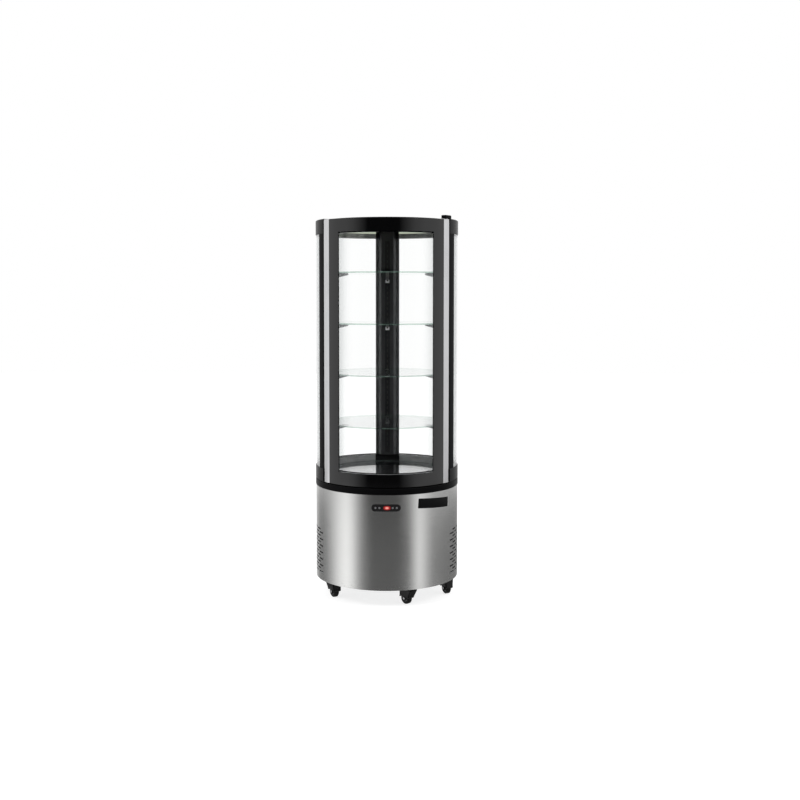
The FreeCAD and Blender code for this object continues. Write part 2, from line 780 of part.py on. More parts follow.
def door_rails():
    outer = DOOR_PANE_R - PANE_T - SPACER_GAP
    spans = ((DOOR_Z, DOOR_Z + RAIL_H), (DOOR_TOP - RAIL_H, DOOR_TOP))
    edge = pane_edge()
    return Part.makeCompound([sector(STILE_IN_R, outer, -edge, edge, low, high) for low, high in spans])


def plain_stile():
    """Extruded aluminium edge with a bowed face, on the right side."""
    middle = (STILE_ANGLE + DOOR_ANGLE) / 2
    angles = (STILE_ANGLE, middle, DOOR_ANGLE)
    back = [polar(STILE_IN_R, angle, DOOR_Z) for angle in angles]
    radii = (DOOR_PANE_R, OUTER_R, DOOR_PANE_R)
    face = [polar(radius, angle, DOOR_Z) for radius, angle in zip(radii, angles)]
    edges = [bow(*face), line(face[2], back[2]), bow(back[2], back[1], back[0]), line(back[0], face[0])]
    return filled(edges).extrude(UP * (DOOR_TOP - DOOR_Z))


def door_hinge_stile():
    sockets = [rod(PIN_R + PRESS, pivot(DOOR_Z - CUT), pivot(DOOR_Z + PIN_DEPTH))]
    sockets.append(rod(PIN_R + PRESS, pivot(DOOR_TOP - PIN_DEPTH), pivot(DOOR_TOP + CUT)))
    return carved(plain_stile(), sockets)


def door_handle_stile():
    return mirrored(plain_stile())


def door_gasket():
    return frame(RECESS_R + FIT, STILE_IN_R - SPACER_GAP, GASKET_ANGLE, DOOR_Z + GASKET_INSET,
                 DOOR_TOP - GASKET_INSET, GASKET_FACE_ANGLE, GASKET_H)


def door_hinge_pins():
    lower = rod(PIN_R, pivot(BASE_RING_TOP - PIN_FOOT), pivot(DOOR_Z + PIN_DEPTH - PIN_END_GAP))
    upper = rod(PIN_R, pivot(DOOR_TOP - PIN_DEPTH + PIN_END_GAP), pivot(RING_TOP + PIN_TOP))
    return Part.makeCompound([lower, upper])


# Control panel

def button_angle(share):
    return math.degrees(math.asin(PANEL_W * share / PANEL_R))


def button_foot():
    return PANEL_R + BUTTON_PROUD - BUTTON_L


def lens_block(gap, depth):
    half_w = LENS_W / 2 + gap
    half_h = LENS_H / 2 + gap
    low = V(LENS_STEP - half_w, -OUTER_R - CUT, PANEL_Z - half_h)
    slab = block(low, V(LENS_STEP + half_w, 0, PANEL_Z + half_h))
    return slab.common(tube(PANEL_R - depth, OUTER_R + CUT, PANEL_Z - PANEL_H, PANEL_Z + PANEL_H))


def control_bezel():
    face = stadium(PANEL_W, PANEL_H, SKIRT_R, PANEL_R)
    inner_w = PANEL_W - PANEL_RIM * 2 - FIT * 2
    back = stadium(inner_w, PANEL_H - PANEL_RIM * 2 - FIT * 2, SKIRT_R - PANEL_BACK, PANEL_R)
    holes = [lens_block(FIT, LENS_T)]
    for share in BUTTON_SHARES:
        floor_r = button_foot() - BUTTON_TRAVEL_ROOM
        holes.append(radial_rod(BUTTON_R + BUTTON_GAP, floor_r, OUTER_R + CUT, button_angle(share), PANEL_Z))
    return carved(joined([face, back]), holes)


def display_lens():
    return lens_block(0, LENS_T).common(disc(PANEL_R - FIT, PANEL_Z - PANEL_H, PANEL_Z + PANEL_H))


def button(index):
    foot = button_foot()
    return radial_rod(BUTTON_R, foot, foot + BUTTON_L, button_angle(BUTTON_SHARES[index]), PANEL_Z)


# Casters

def crown_top():
    return CASTER_H - CASTER_PLATE_T - FORK_GAP


def crown_z():
    return crown_top() - FORK_CROWN_H


def fork_half_width():
    return WHEEL_W / 2 + FORK_SIDE_GAP + FORK_T


def at_caster(shape, index):
    """Move a shape made about the swivel axis, trailing along X, to its place under the pan."""
    turned = facing(shape, HEADING_ANGLES[index])
    turned.translate(polar(CASTER_PLACE_R, CASTER_ANGLES[index]))
    return turned


def caster_plate():
    half = CASTER_PLATE_W / 2
    plate_z = CASTER_H - CASTER_PLATE_T
    plate = block(V(-half, -half, plate_z), V(half, half, CASTER_H))
    upright = [edge for edge in plate.Edges if edge.BoundBox.ZLength > FIT]
    plate = plate.makeFillet(CASTER_PLATE_ROUND, upright)
    head_top = crown_z() - FORK_T - FORK_GAP
    king = disc(KING_R, head_top, CASTER_H)
    head = disc(KING_HEAD_R, head_top - KING_HEAD_T, head_top)
    return joined([plate, king, head])


def caster_plates():
    return Part.makeCompound([at_caster(caster_plate(), index) for index in range(len(CASTER_ANGLES))])


def fork_leg(side):
    """One tapering leg with a rounded eye about the axle."""
    inner = side * (WHEEL_W / 2 + FORK_SIDE_GAP)
    outer = side * fork_half_width()
    top = crown_z()
    half_neck = FORK_NECK_W / 2
    neck = [V(-half_neck, inner, top), V(half_neck, inner, top)]
    corners = neck + [V(CASTER_TRAIL + reach, inner, WHEEL_R) for reach in (FORK_EYE_R, -FORK_EYE_R)]
    leg = Part.Face(Part.makePolygon(corners + corners[:1])).extrude(V(0, outer - inner, 0))
    eye = rod(FORK_EYE_R, V(CASTER_TRAIL, inner, WHEEL_R), V(CASTER_TRAIL, outer, WHEEL_R))
    return leg.fuse(eye)


def caster_fork(index):
    half = fork_half_width()
    rim_z = crown_top() - FORK_CROWN_RIM
    foot = [(0, crown_z()), (FORK_CROWN_FOOT_R, crown_z())]
    crown = lathe(foot + [(FORK_CROWN_R, rim_z), (FORK_CROWN_R, crown_top()), (0, crown_top())])
    yoke = block(V(-FORK_NECK_W / 2, -half, crown_z() - FORK_T), V(FORK_NECK_W / 2, half, crown_z()))
    head = half + AXLE_HEAD_T
    ends = [V(CASTER_TRAIL, y, WHEEL_R) for y in (-head, -half, half, head)]
    heads = [rod(AXLE_HEAD_R, ends[0], ends[1]), rod(AXLE_HEAD_R, ends[2], ends[3])]
    axle = [rod(AXLE_R, ends[0], ends[3])] + heads
    bore = disc(KING_R + RUN, crown_z() - FORK_T - CUT, crown_top() + CUT)
    body = joined([crown, yoke, fork_leg(1), fork_leg(-1)] + axle)
    return at_caster(body.cut(bore), index)


def caster_wheel(index):
    half = WHEEL_W / 2
    bore = AXLE_R + RUN
    dish = half - WHEEL_DISH_D
    side = [(bore, -dish), (WHEEL_DISH_R, -dish), (WHEEL_DISH_R, -half), (WHEEL_R - WHEEL_ROUND, -half)]
    tread = [(WHEEL_R, WHEEL_ROUND - half), (WHEEL_R, half - WHEEL_ROUND)]
    rest = [(radius, -z) for radius, z in reversed(side)]
    wheel = lathe(side + tread + rest)
    wheel.rotate(ORIGIN, V(1, 0, 0), RIGHT_ANGLE)
    wheel.translate(V(CASTER_TRAIL, 0, WHEEL_R))
    return at_caster(wheel, index)


# Refrigeration

def compressor():
    plate_z = PAN_TOP + FOOT_H
    low = plate_z + FOOT_PLATE_T
    high = low + COMPRESSOR_H
    can = disc(COMPRESSOR_R, low, high)
    can = can.makeFillet(COMPRESSOR_DOME, [edge for edge in can.Edges if len(edge.Vertexes) == 1])
    hollow = disc(COMPRESSOR_R - COMPRESSOR_WALL, low + COMPRESSOR_DOME, high - COMPRESSOR_DOME)
    seam_z = (low + high) / 2
    seam = disc(COMPRESSOR_R + COMPRESSOR_SEAM_W, seam_z, seam_z + COMPRESSOR_SEAM_H)
    reach = FOOT_SPREAD + FOOT_R
    plate = block(V(-reach, -reach, plate_z), V(reach, reach, low))
    corners = [(x, y) for x in (-FOOT_SPREAD, FOOT_SPREAD) for y in (-FOOT_SPREAD, FOOT_SPREAD)]
    feet = [rod(FOOT_R, V(x, y, PAN_TOP), V(x, y, plate_z)) for x, y in corners]
    lift = low + COMPRESSOR_H * TERMINAL_LIFT_SHARE
    far = -COMPRESSOR_R - TERMINAL_D
    terminal = block(V(-TERMINAL_W / 2, far, lift), V(TERMINAL_W / 2, 0, lift + TERMINAL_H))
    whole = joined([can, seam, plate, terminal] + feet).cut(hollow)
    whole.translate(V(COMPRESSOR_X, COMPRESSOR_Y, 0))
    return whole


def coil(length, depth, height):
    """A finned block along Y standing on zero, with return bends at both ends."""
    half = length / 2
    core = block(V(-depth / 2, -half, 0), V(depth / 2, half, height))
    pitch = length / (COIL_FIN_COUNT + 1)
    grooves = []
    for index in range(COIL_FIN_COUNT):
        y = (index + 1) * pitch - half
        for side in (-1, 1):
            low = V(side * depth / 2 - COIL_GROOVE_D, y - COIL_FIN_T / 2, COIL_PLATE_T)
            grooves.append(block(low, low + V(COIL_GROOVE_D * 2, COIL_FIN_T, height - COIL_PLATE_T * 2)))
    row_pitch = height / (COIL_ROWS + 1)
    bends = []
    for row in range(COIL_ROWS - 1):
        side = 1 if row % 2 else -1
        low = V(0, side * half, (row + 1) * row_pitch)
        out = low + V(0, side * COIL_BEND, 0)
        rise = V(0, 0, row_pitch)
        bends += [rod(COIL_TUBE_R, low, out), rod(COIL_TUBE_R, low + rise, out + rise)]
        overhang = UP * COIL_HEADER_R
        bends.append(rod(COIL_HEADER_R, out - overhang, out + rise + overhang))
    return joined([carved(core, grooves)] + bends)


def condenser_coil():
    body = coil(CONDENSER_L, CONDENSER_D, CONDENSER_H)
    body.translate(V(CONDENSER_X, 0, PAN_TOP))
    return body


def evaporator_coil():
    body = coil(EVAPORATOR_L, EVAPORATOR_D, EVAPORATOR_H)
    body.rotate(ORIGIN, UP, RIGHT_ANGLE)
    body.translate(V(0, EVAPORATOR_Y, TUB_FLOOR))
    return body


def fan_mount(tip, motor_r, motor_l, width, height):
    """Plate with a round opening, a cross of arms and a motor, facing along X with its foot at zero."""
    middle = height / 2
    opening = tip + FAN_TIP_GAP
    arm_x = -FAN_STAND_OFF - FAN_ARM_T
    plate = block(V(0, -width / 2, 0), V(FAN_PLATE_T, width / 2, height))
    plate = plate.cut(rod(opening, V(-CUT, 0, middle), V(FAN_PLATE_T + CUT, 0, middle)))
    reach = opening + FAN_ARM_W
    arms = [block(V(arm_x, -reach, middle - FAN_ARM_W / 2), V(-FAN_STAND_OFF, reach, middle + FAN_ARM_W / 2))]
    for y in (-reach, reach - FAN_ARM_T):
        arms.append(block(V(arm_x, y, middle - FAN_ARM_W / 2), V(0, y + FAN_ARM_T, middle + FAN_ARM_W / 2)))
    motor = rod(motor_r, V(arm_x - motor_l, 0, middle), V(arm_x, 0, middle))
    shaft = rod(SHAFT_R, V(arm_x, 0, middle), V(0, 0, middle))
    return joined([plate, motor, shaft] + arms)


def fan_rotor(tip, height):
    """Hub and pitched blades about X, on the shaft of the mount of the same height."""
    hub_r = tip * HUB_SHARE
    hub = rod(hub_r, ORIGIN, V(FAN_DEPTH, 0, 0))
    half_span = BLADE_SPAN_ANGLE / 2
    blade = sector(hub_r / 2, tip, -half_span, half_span, -FAN_BLADE_T / 2, FAN_BLADE_T / 2)
    blade.rotate(ORIGIN, V(0, 1, 0), BLADE_PITCH_ANGLE)
    blade.translate(V(0, 0, FAN_DEPTH / 2))
    blade.rotate(ORIGIN, V(0, 1, 0), RIGHT_ANGLE)
    blades = []
    for index in range(FAN_BLADES):
        copy = blade.copy()
        copy.rotate(ORIGIN, V(1, 0, 0), index * FULL_ANGLE / FAN_BLADES)
        blades.append(copy)
    bore = rod(SHAFT_R + RUN, V(-CUT, 0, 0), V(FAN_DEPTH + CUT, 0, 0))
    rotor = joined([hub] + blades)
    slab = rod(tip, ORIGIN, V(FAN_DEPTH, 0, 0))
    rotor = rotor.common(slab).cut(bore)
    rotor.translate(V(-FAN_DEPTH, 0, height / 2))
    return rotor


def at_condenser(shape):
    shape.translate(V(CONDENSER_X - CONDENSER_D / 2 - FAN_PLATE_T, 0, PAN_TOP))
    return shape


def at_evaporator(shape):
    shape.rotate(ORIGIN, UP, RIGHT_ANGLE)
    shape.translate(V(0, EVAPORATOR_FAN_Y, TUB_FLOOR))
    return shape


def condenser_fan_mount():
    motor = (CONDENSER_MOTOR_R, CONDENSER_MOTOR_L)
    return at_condenser(fan_mount(CONDENSER_FAN_R, *motor, CONDENSER_L, CONDENSER_H))


def condenser_fan():
    return at_condenser(fan_rotor(CONDENSER_FAN_R, CONDENSER_H))


def evaporator_fan_size():
    side = (EVAPORATOR_FAN_R + FAN_TIP_GAP + FAN_ARM_W) * 2 + FAN_ARM_T
    return side, side


def evaporator_fan_mount():
    motor = (EVAPORATOR_MOTOR_R, EVAPORATOR_MOTOR_L)
    return at_evaporator(fan_mount(EVAPORATOR_FAN_R, *motor, *evaporator_fan_size()))


def evaporator_fan():
    return at_evaporator(fan_rotor(EVAPORATOR_FAN_R, evaporator_fan_size()[1]))


def pipe(points):
    """A round tube along square turns with bent corners."""
    edges = []
    start = points[0]
    for before, corner, after in zip(points, points[1:], points[2:]):
        arriving = (corner - before).normalize() * PIPE_BEND
        leaving = (after - corner).normalize() * PIPE_BEND
        centre = corner - arriving + leaving
        middle = centre + (corner - centre).normalize() * PIPE_BEND
        edges += [line(start, corner - arriving), bow(corner - arriving, middle, corner + leaving)]
        start = corner + leaving
    edges.append(line(start, points[-1]))
    ring = Part.Wire(Part.makeCircle(PIPE_R, points[0], points[1] - points[0]))
    return Part.Wire(edges).makePipeShell([ring], True, True)


def refrigerant_lines():
    """Suction pipe from tub to compressor, discharge pipe to the condenser, liquid pipe back to the tub."""
    can_z = PAN_TOP + FOOT_H + FOOT_PLATE_T + COMPRESSOR_H / 2 - COMPRESSOR_SEAM_H - PIPE_R
    rear = COMPRESSOR_Y + COMPRESSOR_R + PIPE_END_GAP
    tub = TUB_Z - PIPE_END_GAP
    behind = rear + PIPE_REACH
    rise_y = behind + PIPE_STEP
    rise = [V(COMPRESSOR_X, rise_y, tub), V(COMPRESSOR_X, rise_y, can_z)]
    suction = pipe(rise + [V(COMPRESSOR_X, rear, can_z)])
    coil_face = CONDENSER_X - CONDENSER_D / 4
    end_y = CONDENSER_L / 2 + PIPE_END_GAP
    drop = can_z - PIPE_BEND * 3
    start_x = COMPRESSOR_X + PIPE_STEP
    start = [V(start_x, rear, drop), V(start_x, behind, drop)]
    discharge = pipe(start + [V(coil_face, behind, drop), V(coil_face, end_y, drop)])
    front = -end_y - PIPE_BEND * 2
    leave = [V(coil_face, -end_y, drop), V(coil_face, front, drop)]
    liquid = pipe(leave + [V(0, front, drop), V(0, front, tub)])
    return Part.makeCompound([suction, discharge, liquid])


# All pieces by name

PIECES = {
    "base_pan": base_pan,
    "base_front_panel": base_front_panel,
    "base_left_grille": base_left_grille,
    "base_right_grille": base_right_grille,
    "base_rear_panel": base_rear_panel,
    "base_ring": base_ring,
    "lower_collar": lower_collar,
    "collar_sill": collar_sill,
    "evaporator_tub": evaporator_tub,
    "deck_plate": deck_plate,
    "floor_glass": floor_glass,
    "rear_column": rear_column,
    "shelf_rail": shelf_rail,
    "front_post_left": front_post_left,
    "front_post_right": front_post_right,
    "top_ring": top_ring,
    "top_cover": top_cover,
    "ceiling_panel": ceiling_panel,
    "ceiling_light": ceiling_light,
    "side_outer_panes": side_outer_panes,
    "side_inner_panes": side_inner_panes,
    "glass_spacers": glass_spacers,
    "shelf_brackets": shelf_brackets,
    "top_hinge_bracket": top_hinge_bracket,
    "control_bezel": control_bezel,
    "display_lens": display_lens,
    "compressor": compressor,
    "condenser_coil": condenser_coil,
    "condenser_fan_mount": condenser_fan_mount,
    "condenser_fan": condenser_fan,
    "evaporator_coil": evaporator_coil,
    "evaporator_fan_mount": evaporator_fan_mount,
    "evaporator_fan": evaporator_fan,
    "refrigerant_lines": refrigerant_lines,
    "cable_gland": cable_gland,
    "caster_plates": caster_plates,
    "door_outer_pane": door_outer_pane,
    "door_inner_pane": door_inner_pane,
    "door_spacer": door_spacer,
    "door_rails": door_rails,
    "door_hinge_stile": door_hinge_stile,
    "door_handle_stile": door_handle_stile,
    "door_gasket": door_gasket,
    "door_hinge_pins": door_hinge_pins,
}
SERIES = {
    "shelf": (shelf, SHELF_COUNT),
    "caster_fork": (caster_fork, len(CASTER_ANGLES)),
    "caster_wheel": (caster_wheel, len(CASTER_ANGLES)),
    "button": (button, len(BUTTON_SHARES)),
}

os.makedirs("parts", exist_ok=True)
for name, make in PIECES.items():
    make().exportStep("parts/" + name + ".step")
for name, (make, count) in SERIES.items():
    for index in range(count):
        make(index).exportStep("parts/" + name + "_" + str(index + 1) + ".step")
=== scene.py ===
import json
import logging
import math
from dataclasses import dataclass
from enum import Enum
from functools import cache
from typing import Iterable, Sequence, Union

import bmesh
import bpy
from mathutils import Matrix, Vector


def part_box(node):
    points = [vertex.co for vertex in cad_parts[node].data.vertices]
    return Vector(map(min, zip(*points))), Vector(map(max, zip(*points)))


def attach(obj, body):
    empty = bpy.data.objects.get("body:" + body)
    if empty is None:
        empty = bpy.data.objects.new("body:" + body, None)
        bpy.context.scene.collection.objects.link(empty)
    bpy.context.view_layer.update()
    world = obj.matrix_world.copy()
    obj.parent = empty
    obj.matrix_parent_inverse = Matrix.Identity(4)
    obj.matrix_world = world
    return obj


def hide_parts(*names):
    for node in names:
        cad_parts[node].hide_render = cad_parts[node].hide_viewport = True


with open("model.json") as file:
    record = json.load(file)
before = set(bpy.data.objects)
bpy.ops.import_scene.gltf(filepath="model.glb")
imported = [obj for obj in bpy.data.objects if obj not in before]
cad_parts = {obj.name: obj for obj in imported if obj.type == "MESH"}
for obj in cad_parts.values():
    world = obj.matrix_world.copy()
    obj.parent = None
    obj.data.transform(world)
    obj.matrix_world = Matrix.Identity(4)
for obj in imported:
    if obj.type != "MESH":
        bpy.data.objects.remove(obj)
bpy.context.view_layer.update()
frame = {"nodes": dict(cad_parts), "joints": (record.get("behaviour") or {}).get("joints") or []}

LOG = logging.getLogger("display_case")

Colour = tuple[float, float, float, float]
Triple = tuple[float, float, float]
Profile = Sequence[tuple[float, float]]
MM = 0.001
MERGE = 1e-6
SHARP = math.radians(35.0)
WHITE: Colour = (1.0, 1.0, 1.0, 1.0)
UNLIT: Colour = (0.0, 0.0, 0.0, 1.0)


class Body(Enum):
    """Bodies that carry the pieces made here."""

    CABINET = "cabinet"
    DOOR = "door"


class Slot(Enum):
    """Material slots of the record; the pieces made here don't use them."""

    PANEL_BLACK = "panel_black"
    RAIL_METAL = "rail_metal"
    SEAL = "seal"
    WHEEL = "wheel"


class Grain(Enum):
    """How a surface's fine texture is stretched along X, Y and Z."""

    EVEN = (1.0, 1.0, 1.0)
    ROUND = (0.012, 0.012, 1.0)
    UPRIGHT = (1.0, 1.0, 0.008)


def low_of(node: str) -> float:
    """Height of a CAD node's lowest point."""
    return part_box(node)[0].z


def top_of(node: str) -> float:
    """Height of a CAD node's highest point."""
    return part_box(node)[1].z


def grey(level: float, blue: float | None = None) -> Colour:
    """A grey, made cooler or warmer by its blue part."""
    return (level, level, level if blue is None else blue, 1.0)


BASE_LOW = low_of("base_front_panel")
BASE_TOP = top_of("base_front_panel")
COLLAR_TOP = top_of("lower_collar")
RING_LOW = low_of("top_ring")
CEILING_LOW = low_of("ceiling_panel")


# Shader arithmetic


class Wire:
    """A socket of a finish that takes part in Python arithmetic."""

    def __init__(self, graph: "Graph", socket: bpy.types.NodeSocket) -> None:
        """Keep the socket and the graph it belongs to."""
        self.graph = graph
        self.socket = socket

    def __add__(self, other: "Value") -> "Wire":
        """Sum."""
        return self.graph.calc("ADD", self, other)

    def __sub__(self, other: "Value") -> "Wire":
        """Difference."""
        return self.graph.calc("SUBTRACT", self, other)

    def __rsub__(self, other: "Value") -> "Wire":
        """Difference from a number."""
        return self.graph.calc("SUBTRACT", other, self)

    def __mul__(self, other: "Value") -> "Wire":
        """Product."""
        return self.graph.calc("MULTIPLY", self, other)

    def __truediv__(self, other: "Value") -> "Wire":
        """Quotient."""
        return self.graph.calc("DIVIDE", self, other)

    def __pow__(self, other: "Value") -> "Wire":
        """Power."""
        return self.graph.calc("POWER", self, other)

    def __abs__(self) -> "Wire":
        """Size without sign."""
        return self.graph.calc("ABSOLUTE", self)

    def __or__(self, other: "Value") -> "Wire":
        """The larger of two masks."""
        return self.graph.calc("MAXIMUM", self, other)

    __radd__ = __add__
    __rmul__ = __mul__


Value = Union[Wire, float]


class Graph:
    """The node tree of one finish, or of the studio's surroundings."""

    def __init__(self, tree: bpy.types.NodeTree) -> None:
        """Empty the tree and keep it."""
        self.tree = tree
        tree.nodes.clear()

    def _node(self, kind: str, settings: dict, sockets: dict) -> bpy.types.Node:
        """Make a node with its settings, values and links.

        Args:
            kind: The node's type name.
            settings: Its own settings.
            sockets: A value or a wire for each input.

        Returns:
            The node.
        """
        node = self.tree.nodes.new(kind)
        for name, value in settings.items():
            if name == "stops":
                self._set_stops(node.color_ramp, value)
            else:
                setattr(node, name, value)
        for name, value in sockets.items():
            if isinstance(value, Wire):
                self.tree.links.new(value.socket, node.inputs[name])
            else:
                node.inputs[name].default_value = value
        return node

    def add(self, kind: str, settings: dict | None = None, sockets: dict | None = None,
            out: int | str = 0) -> Wire:
        """Add any node.

        Args:
            kind: The node's type name.
            settings: Its own settings, set first; "stops" are a ramp's positions and greys.
            sockets: A value or a wire for each input, by name or number.
            out: The output to hand on.

        Returns:
            The chosen output.
        """
        return Wire(self, self._node(kind, settings or {}, sockets or {}).outputs[out])

    def end(self, kind: str, last: Wire) -> None:
        """Close the tree with its output node."""
        self._node(kind, {}, {0: last})

    @staticmethod
    def _set_stops(ramp: bpy.types.ColorRamp, stops: Profile) -> None:
        """Give a ramp its grey stops, in rising order.

        Args:
            ramp: The ramp of a new node.
            stops: Positions from 0 to 1 and their greys.
        """
        while len(ramp.elements) > 1:
            ramp.elements.remove(ramp.elements[-1])
        ramp.elements[0].position, ramp.elements[0].color = stops[0][0], grey(stops[0][1])
        for position, level in stops[1:]:
            ramp.elements.new(position).color = grey(level)

    def place(self) -> Wire:
        """Object coordinates, which are the case's own metres."""
        return self.add("ShaderNodeTexCoord", out="Object")

    def axes(self, vector: Wire) -> tuple[Wire, Wire, Wire]:
        """Split a vector into X, Y and Z."""
        parts = self.add("ShaderNodeSeparateXYZ", sockets={0: vector}).socket.node.outputs
        return tuple(Wire(self, part) for part in parts)

    def noise(self, vector: Wire, stretch: Triple, detail: float = 2.0) -> Wire:
        """Seeded noise.

        Args:
            vector: Where to read it.
            stretch: Waves per metre along each axis.
            detail: Octaves.

        Returns:
            A value about one half.
        """
        spread = self.add("ShaderNodeVectorMath", {"operation": "MULTIPLY"}, {0: vector, 1: stretch})
        return self.add("ShaderNodeTexNoise", {}, {"Vector": spread, "Scale": 1.0, "Detail": detail}, "Fac")

    def step(self, value: Wire, low: float, high: float) -> Wire:
        """A smooth mask that rises from 0 at low to 1 at high."""
        limits = {"Value": value, "From Min": low, "From Max": high}
        return self.add("ShaderNodeMapRange", {"interpolation_type": "SMOOTHSTEP"}, limits)

    def blend(self, share: Value, first: Wire | Colour, second: Wire | Colour) -> Wire:
        """Mix two colours."""
        return self.add("ShaderNodeMix", {"data_type": "RGBA"}, {0: share, 6: first, 7: second}, 2)

    def mix(self, share: Value, first: Wire, second: Wire) -> Wire:
        """Mix two shaders."""
        return self.add("ShaderNodeMixShader", {}, {0: share, 1: first, 2: second})

    def bump(self, height: Wire, strength: float, depth: float) -> Wire:
        """Turn a height into a normal."""
        return self.add("ShaderNodeBump", {}, {"Strength": strength, "Distance": depth, "Height": height})

    def surface(self, **sockets: Value | Colour) -> Wire:
        """A Principled shader, its sockets named with underscores for spaces."""
        named = {name.replace("_", " "): value for name, value in sockets.items()}
        return self.add("ShaderNodeBsdfPrincipled", {}, named)

    def calc(self, operation: str, first: Value, second: Value = 0.0) -> Wire:
        """Add the Math node of one step."""
        return self.add("ShaderNodeMath", {"operation": operation}, {0: first, 1: second})

    def bearing(self, across: Wire, deep: Wire) -> Wire:
        """Angle from the front in radians, growing to the right."""
        return self.calc("ARCTAN2", across, 0.0 - deep)

    def reach(self, across: Wire, deep: Wire) -> Wire:
        """Distance from the case's upright axis."""
        return (across * across + deep * deep) ** 0.5

    def clear(self, tint: Colour) -> Wire:
        """A see-through shader."""
        return self.add("ShaderNodeBsdfTransparent", {}, {"Color": tint})

    def seen(self) -> Wire:
        """Mask of the rays that show the white background.

        Returns:
            1 for camera, glossy and transmission rays, and 0 for the rest.
        """
        path = self.add("ShaderNodeLightPath").socket.node.outputs
        kinds = ("Camera", "Glossy", "Transmission")
        eye, gloss, glass = (Wire(self, path[f"Is {kind} Ray"]) for kind in kinds)
        return eye | gloss | glass

    def vector(self, across: Value, deep: Value, height: Value) -> Wire:
        """A vector from its three parts."""
        return self.add("ShaderNodeCombineXYZ", {}, {0: across, 1: deep, 2: height})

    def end_geometry(self, geometry: Wire, finish: Wire) -> None:
        """Close a Geometry Nodes tree with real geometry in its finish.

        Args:
            geometry: What the tree has built.
            finish: The material to set.
        """
        real = self.add("GeometryNodeRealizeInstances", {}, {"Geometry": geometry})
        dressed = self.add("GeometryNodeSetMaterial", {}, {"Geometry": real, "Material": finish})
        self.end("NodeGroupOutput", dressed)


# Finishes


@dataclass(frozen=True)
class Finish:
    """A finish that is made once and then shared."""

    name: str

    @cache
    def material(self) -> bpy.types.Material:
        """Make the material, or hand back the one made before.

        Returns:
            The material, shared by all that wear the finish.
        """
        made = bpy.data.materials.new(self.name)
        made.use_nodes = True
        graph = Graph(made.node_tree)
        graph.end("ShaderNodeOutputMaterial", self.shade(graph))
        return made

    def shade(self, graph: Graph) -> Wire:
        """Build the nodes and hand back the last shader."""
        raise NotImplementedError


@dataclass(frozen=True)
class GrainFinish(Finish):
    """A solid finish of two tones with fine grain and slow drift."""

    tone: Colour
    second: Colour
    rough: float
    rough_span: float = 0.1
    metal: float = 0.0
    grain: Grain = Grain.EVEN
    waves: float = 900.0
    drift: float = 7.0
    bump: float = 0.12
    depth: float = 0.3 * MM
    coat: float = 0.0
    gloss: float = 0.5
    fine_share: float = 0.55
    mask: tuple[float, float] = (0.3, 0.7)

    def shade(self, graph: Graph) -> Wire:
        """Two tones by grain and drift, with roughness and bump from the same grain.

        Args:
            graph: The material's empty tree.

        Returns:
            The last shader.
        """
        place = graph.place()
        fine = graph.noise(place, tuple(self.waves * share for share in self.grain.value), 3.0)
        slow = graph.noise(place, (self.drift,) * 3)
        mask = graph.step(fine * self.fine_share + slow * (1.0 - self.fine_share), *self.mask)
        rough = self.rough + (mask - 0.5) * self.rough_span
        return graph.surface(Base_Color=graph.blend(mask, self.tone, self.second), Roughness=rough,
                             Metallic=self.metal, Coat_Weight=self.coat, Specular_IOR_Level=self.gloss,
                             Normal=graph.bump(fine, self.bump, self.depth))


@dataclass(frozen=True)
class SheetSteelFinish(Finish):
    """Stainless sheet brushed round the case, with hand smears and scuffs above the floor."""

    tone: Colour = (0.60, 0.60, 0.59, 1.0)
    dark: Colour = (0.47, 0.47, 0.465, 1.0)
    scuffed: Colour = (0.36, 0.36, 0.355, 1.0)
    rough: float = 0.2
    waves: float = 1400.0
    scuff_from: float = BASE_LOW + 51.0 * MM
    scuff_to: float = BASE_LOW + 2.0 * MM
    scuff_share: float = 0.3
    smear_waves: Triple = (9.0, 9.0, 5.0)
    nick_waves: Triple = (60.0, 60.0, 260.0)
    line_rough: float = 0.14
    smear_rough: float = 0.04
    scuff_rough: float = 0.06
    line_depth: float = 0.2 * MM

    def shade(self, graph: Graph) -> Wire:
        """Long brush lines, cloudy smears and a worn lower edge.

        Args:
            graph: The material's empty tree.

        Returns:
            The last shader.
        """
        place = graph.place()
        _, _, height = graph.axes(place)
        lines = graph.noise(place, tuple(self.waves * share for share in Grain.ROUND.value), 4.0)
        smear = graph.step(graph.noise(place, self.smear_waves, 3.0), 0.45, 0.75)
        nicks = graph.step(graph.noise(place, self.nick_waves, 3.0), 0.56, 0.66)
        scuff = (1.0 - graph.step(height, self.scuff_to, self.scuff_from)) * nicks
        brushed = graph.blend(lines, self.dark, self.tone)
        colour = graph.blend(scuff * self.scuff_share, brushed, self.scuffed)
        worn = smear * self.smear_rough + scuff * self.scuff_rough
        rough = self.rough + (lines - 0.5) * self.line_rough + worn
        return graph.surface(Base_Color=colour, Roughness=rough, Metallic=1.0,
                             Normal=graph.bump(lines, 0.1, self.line_depth))


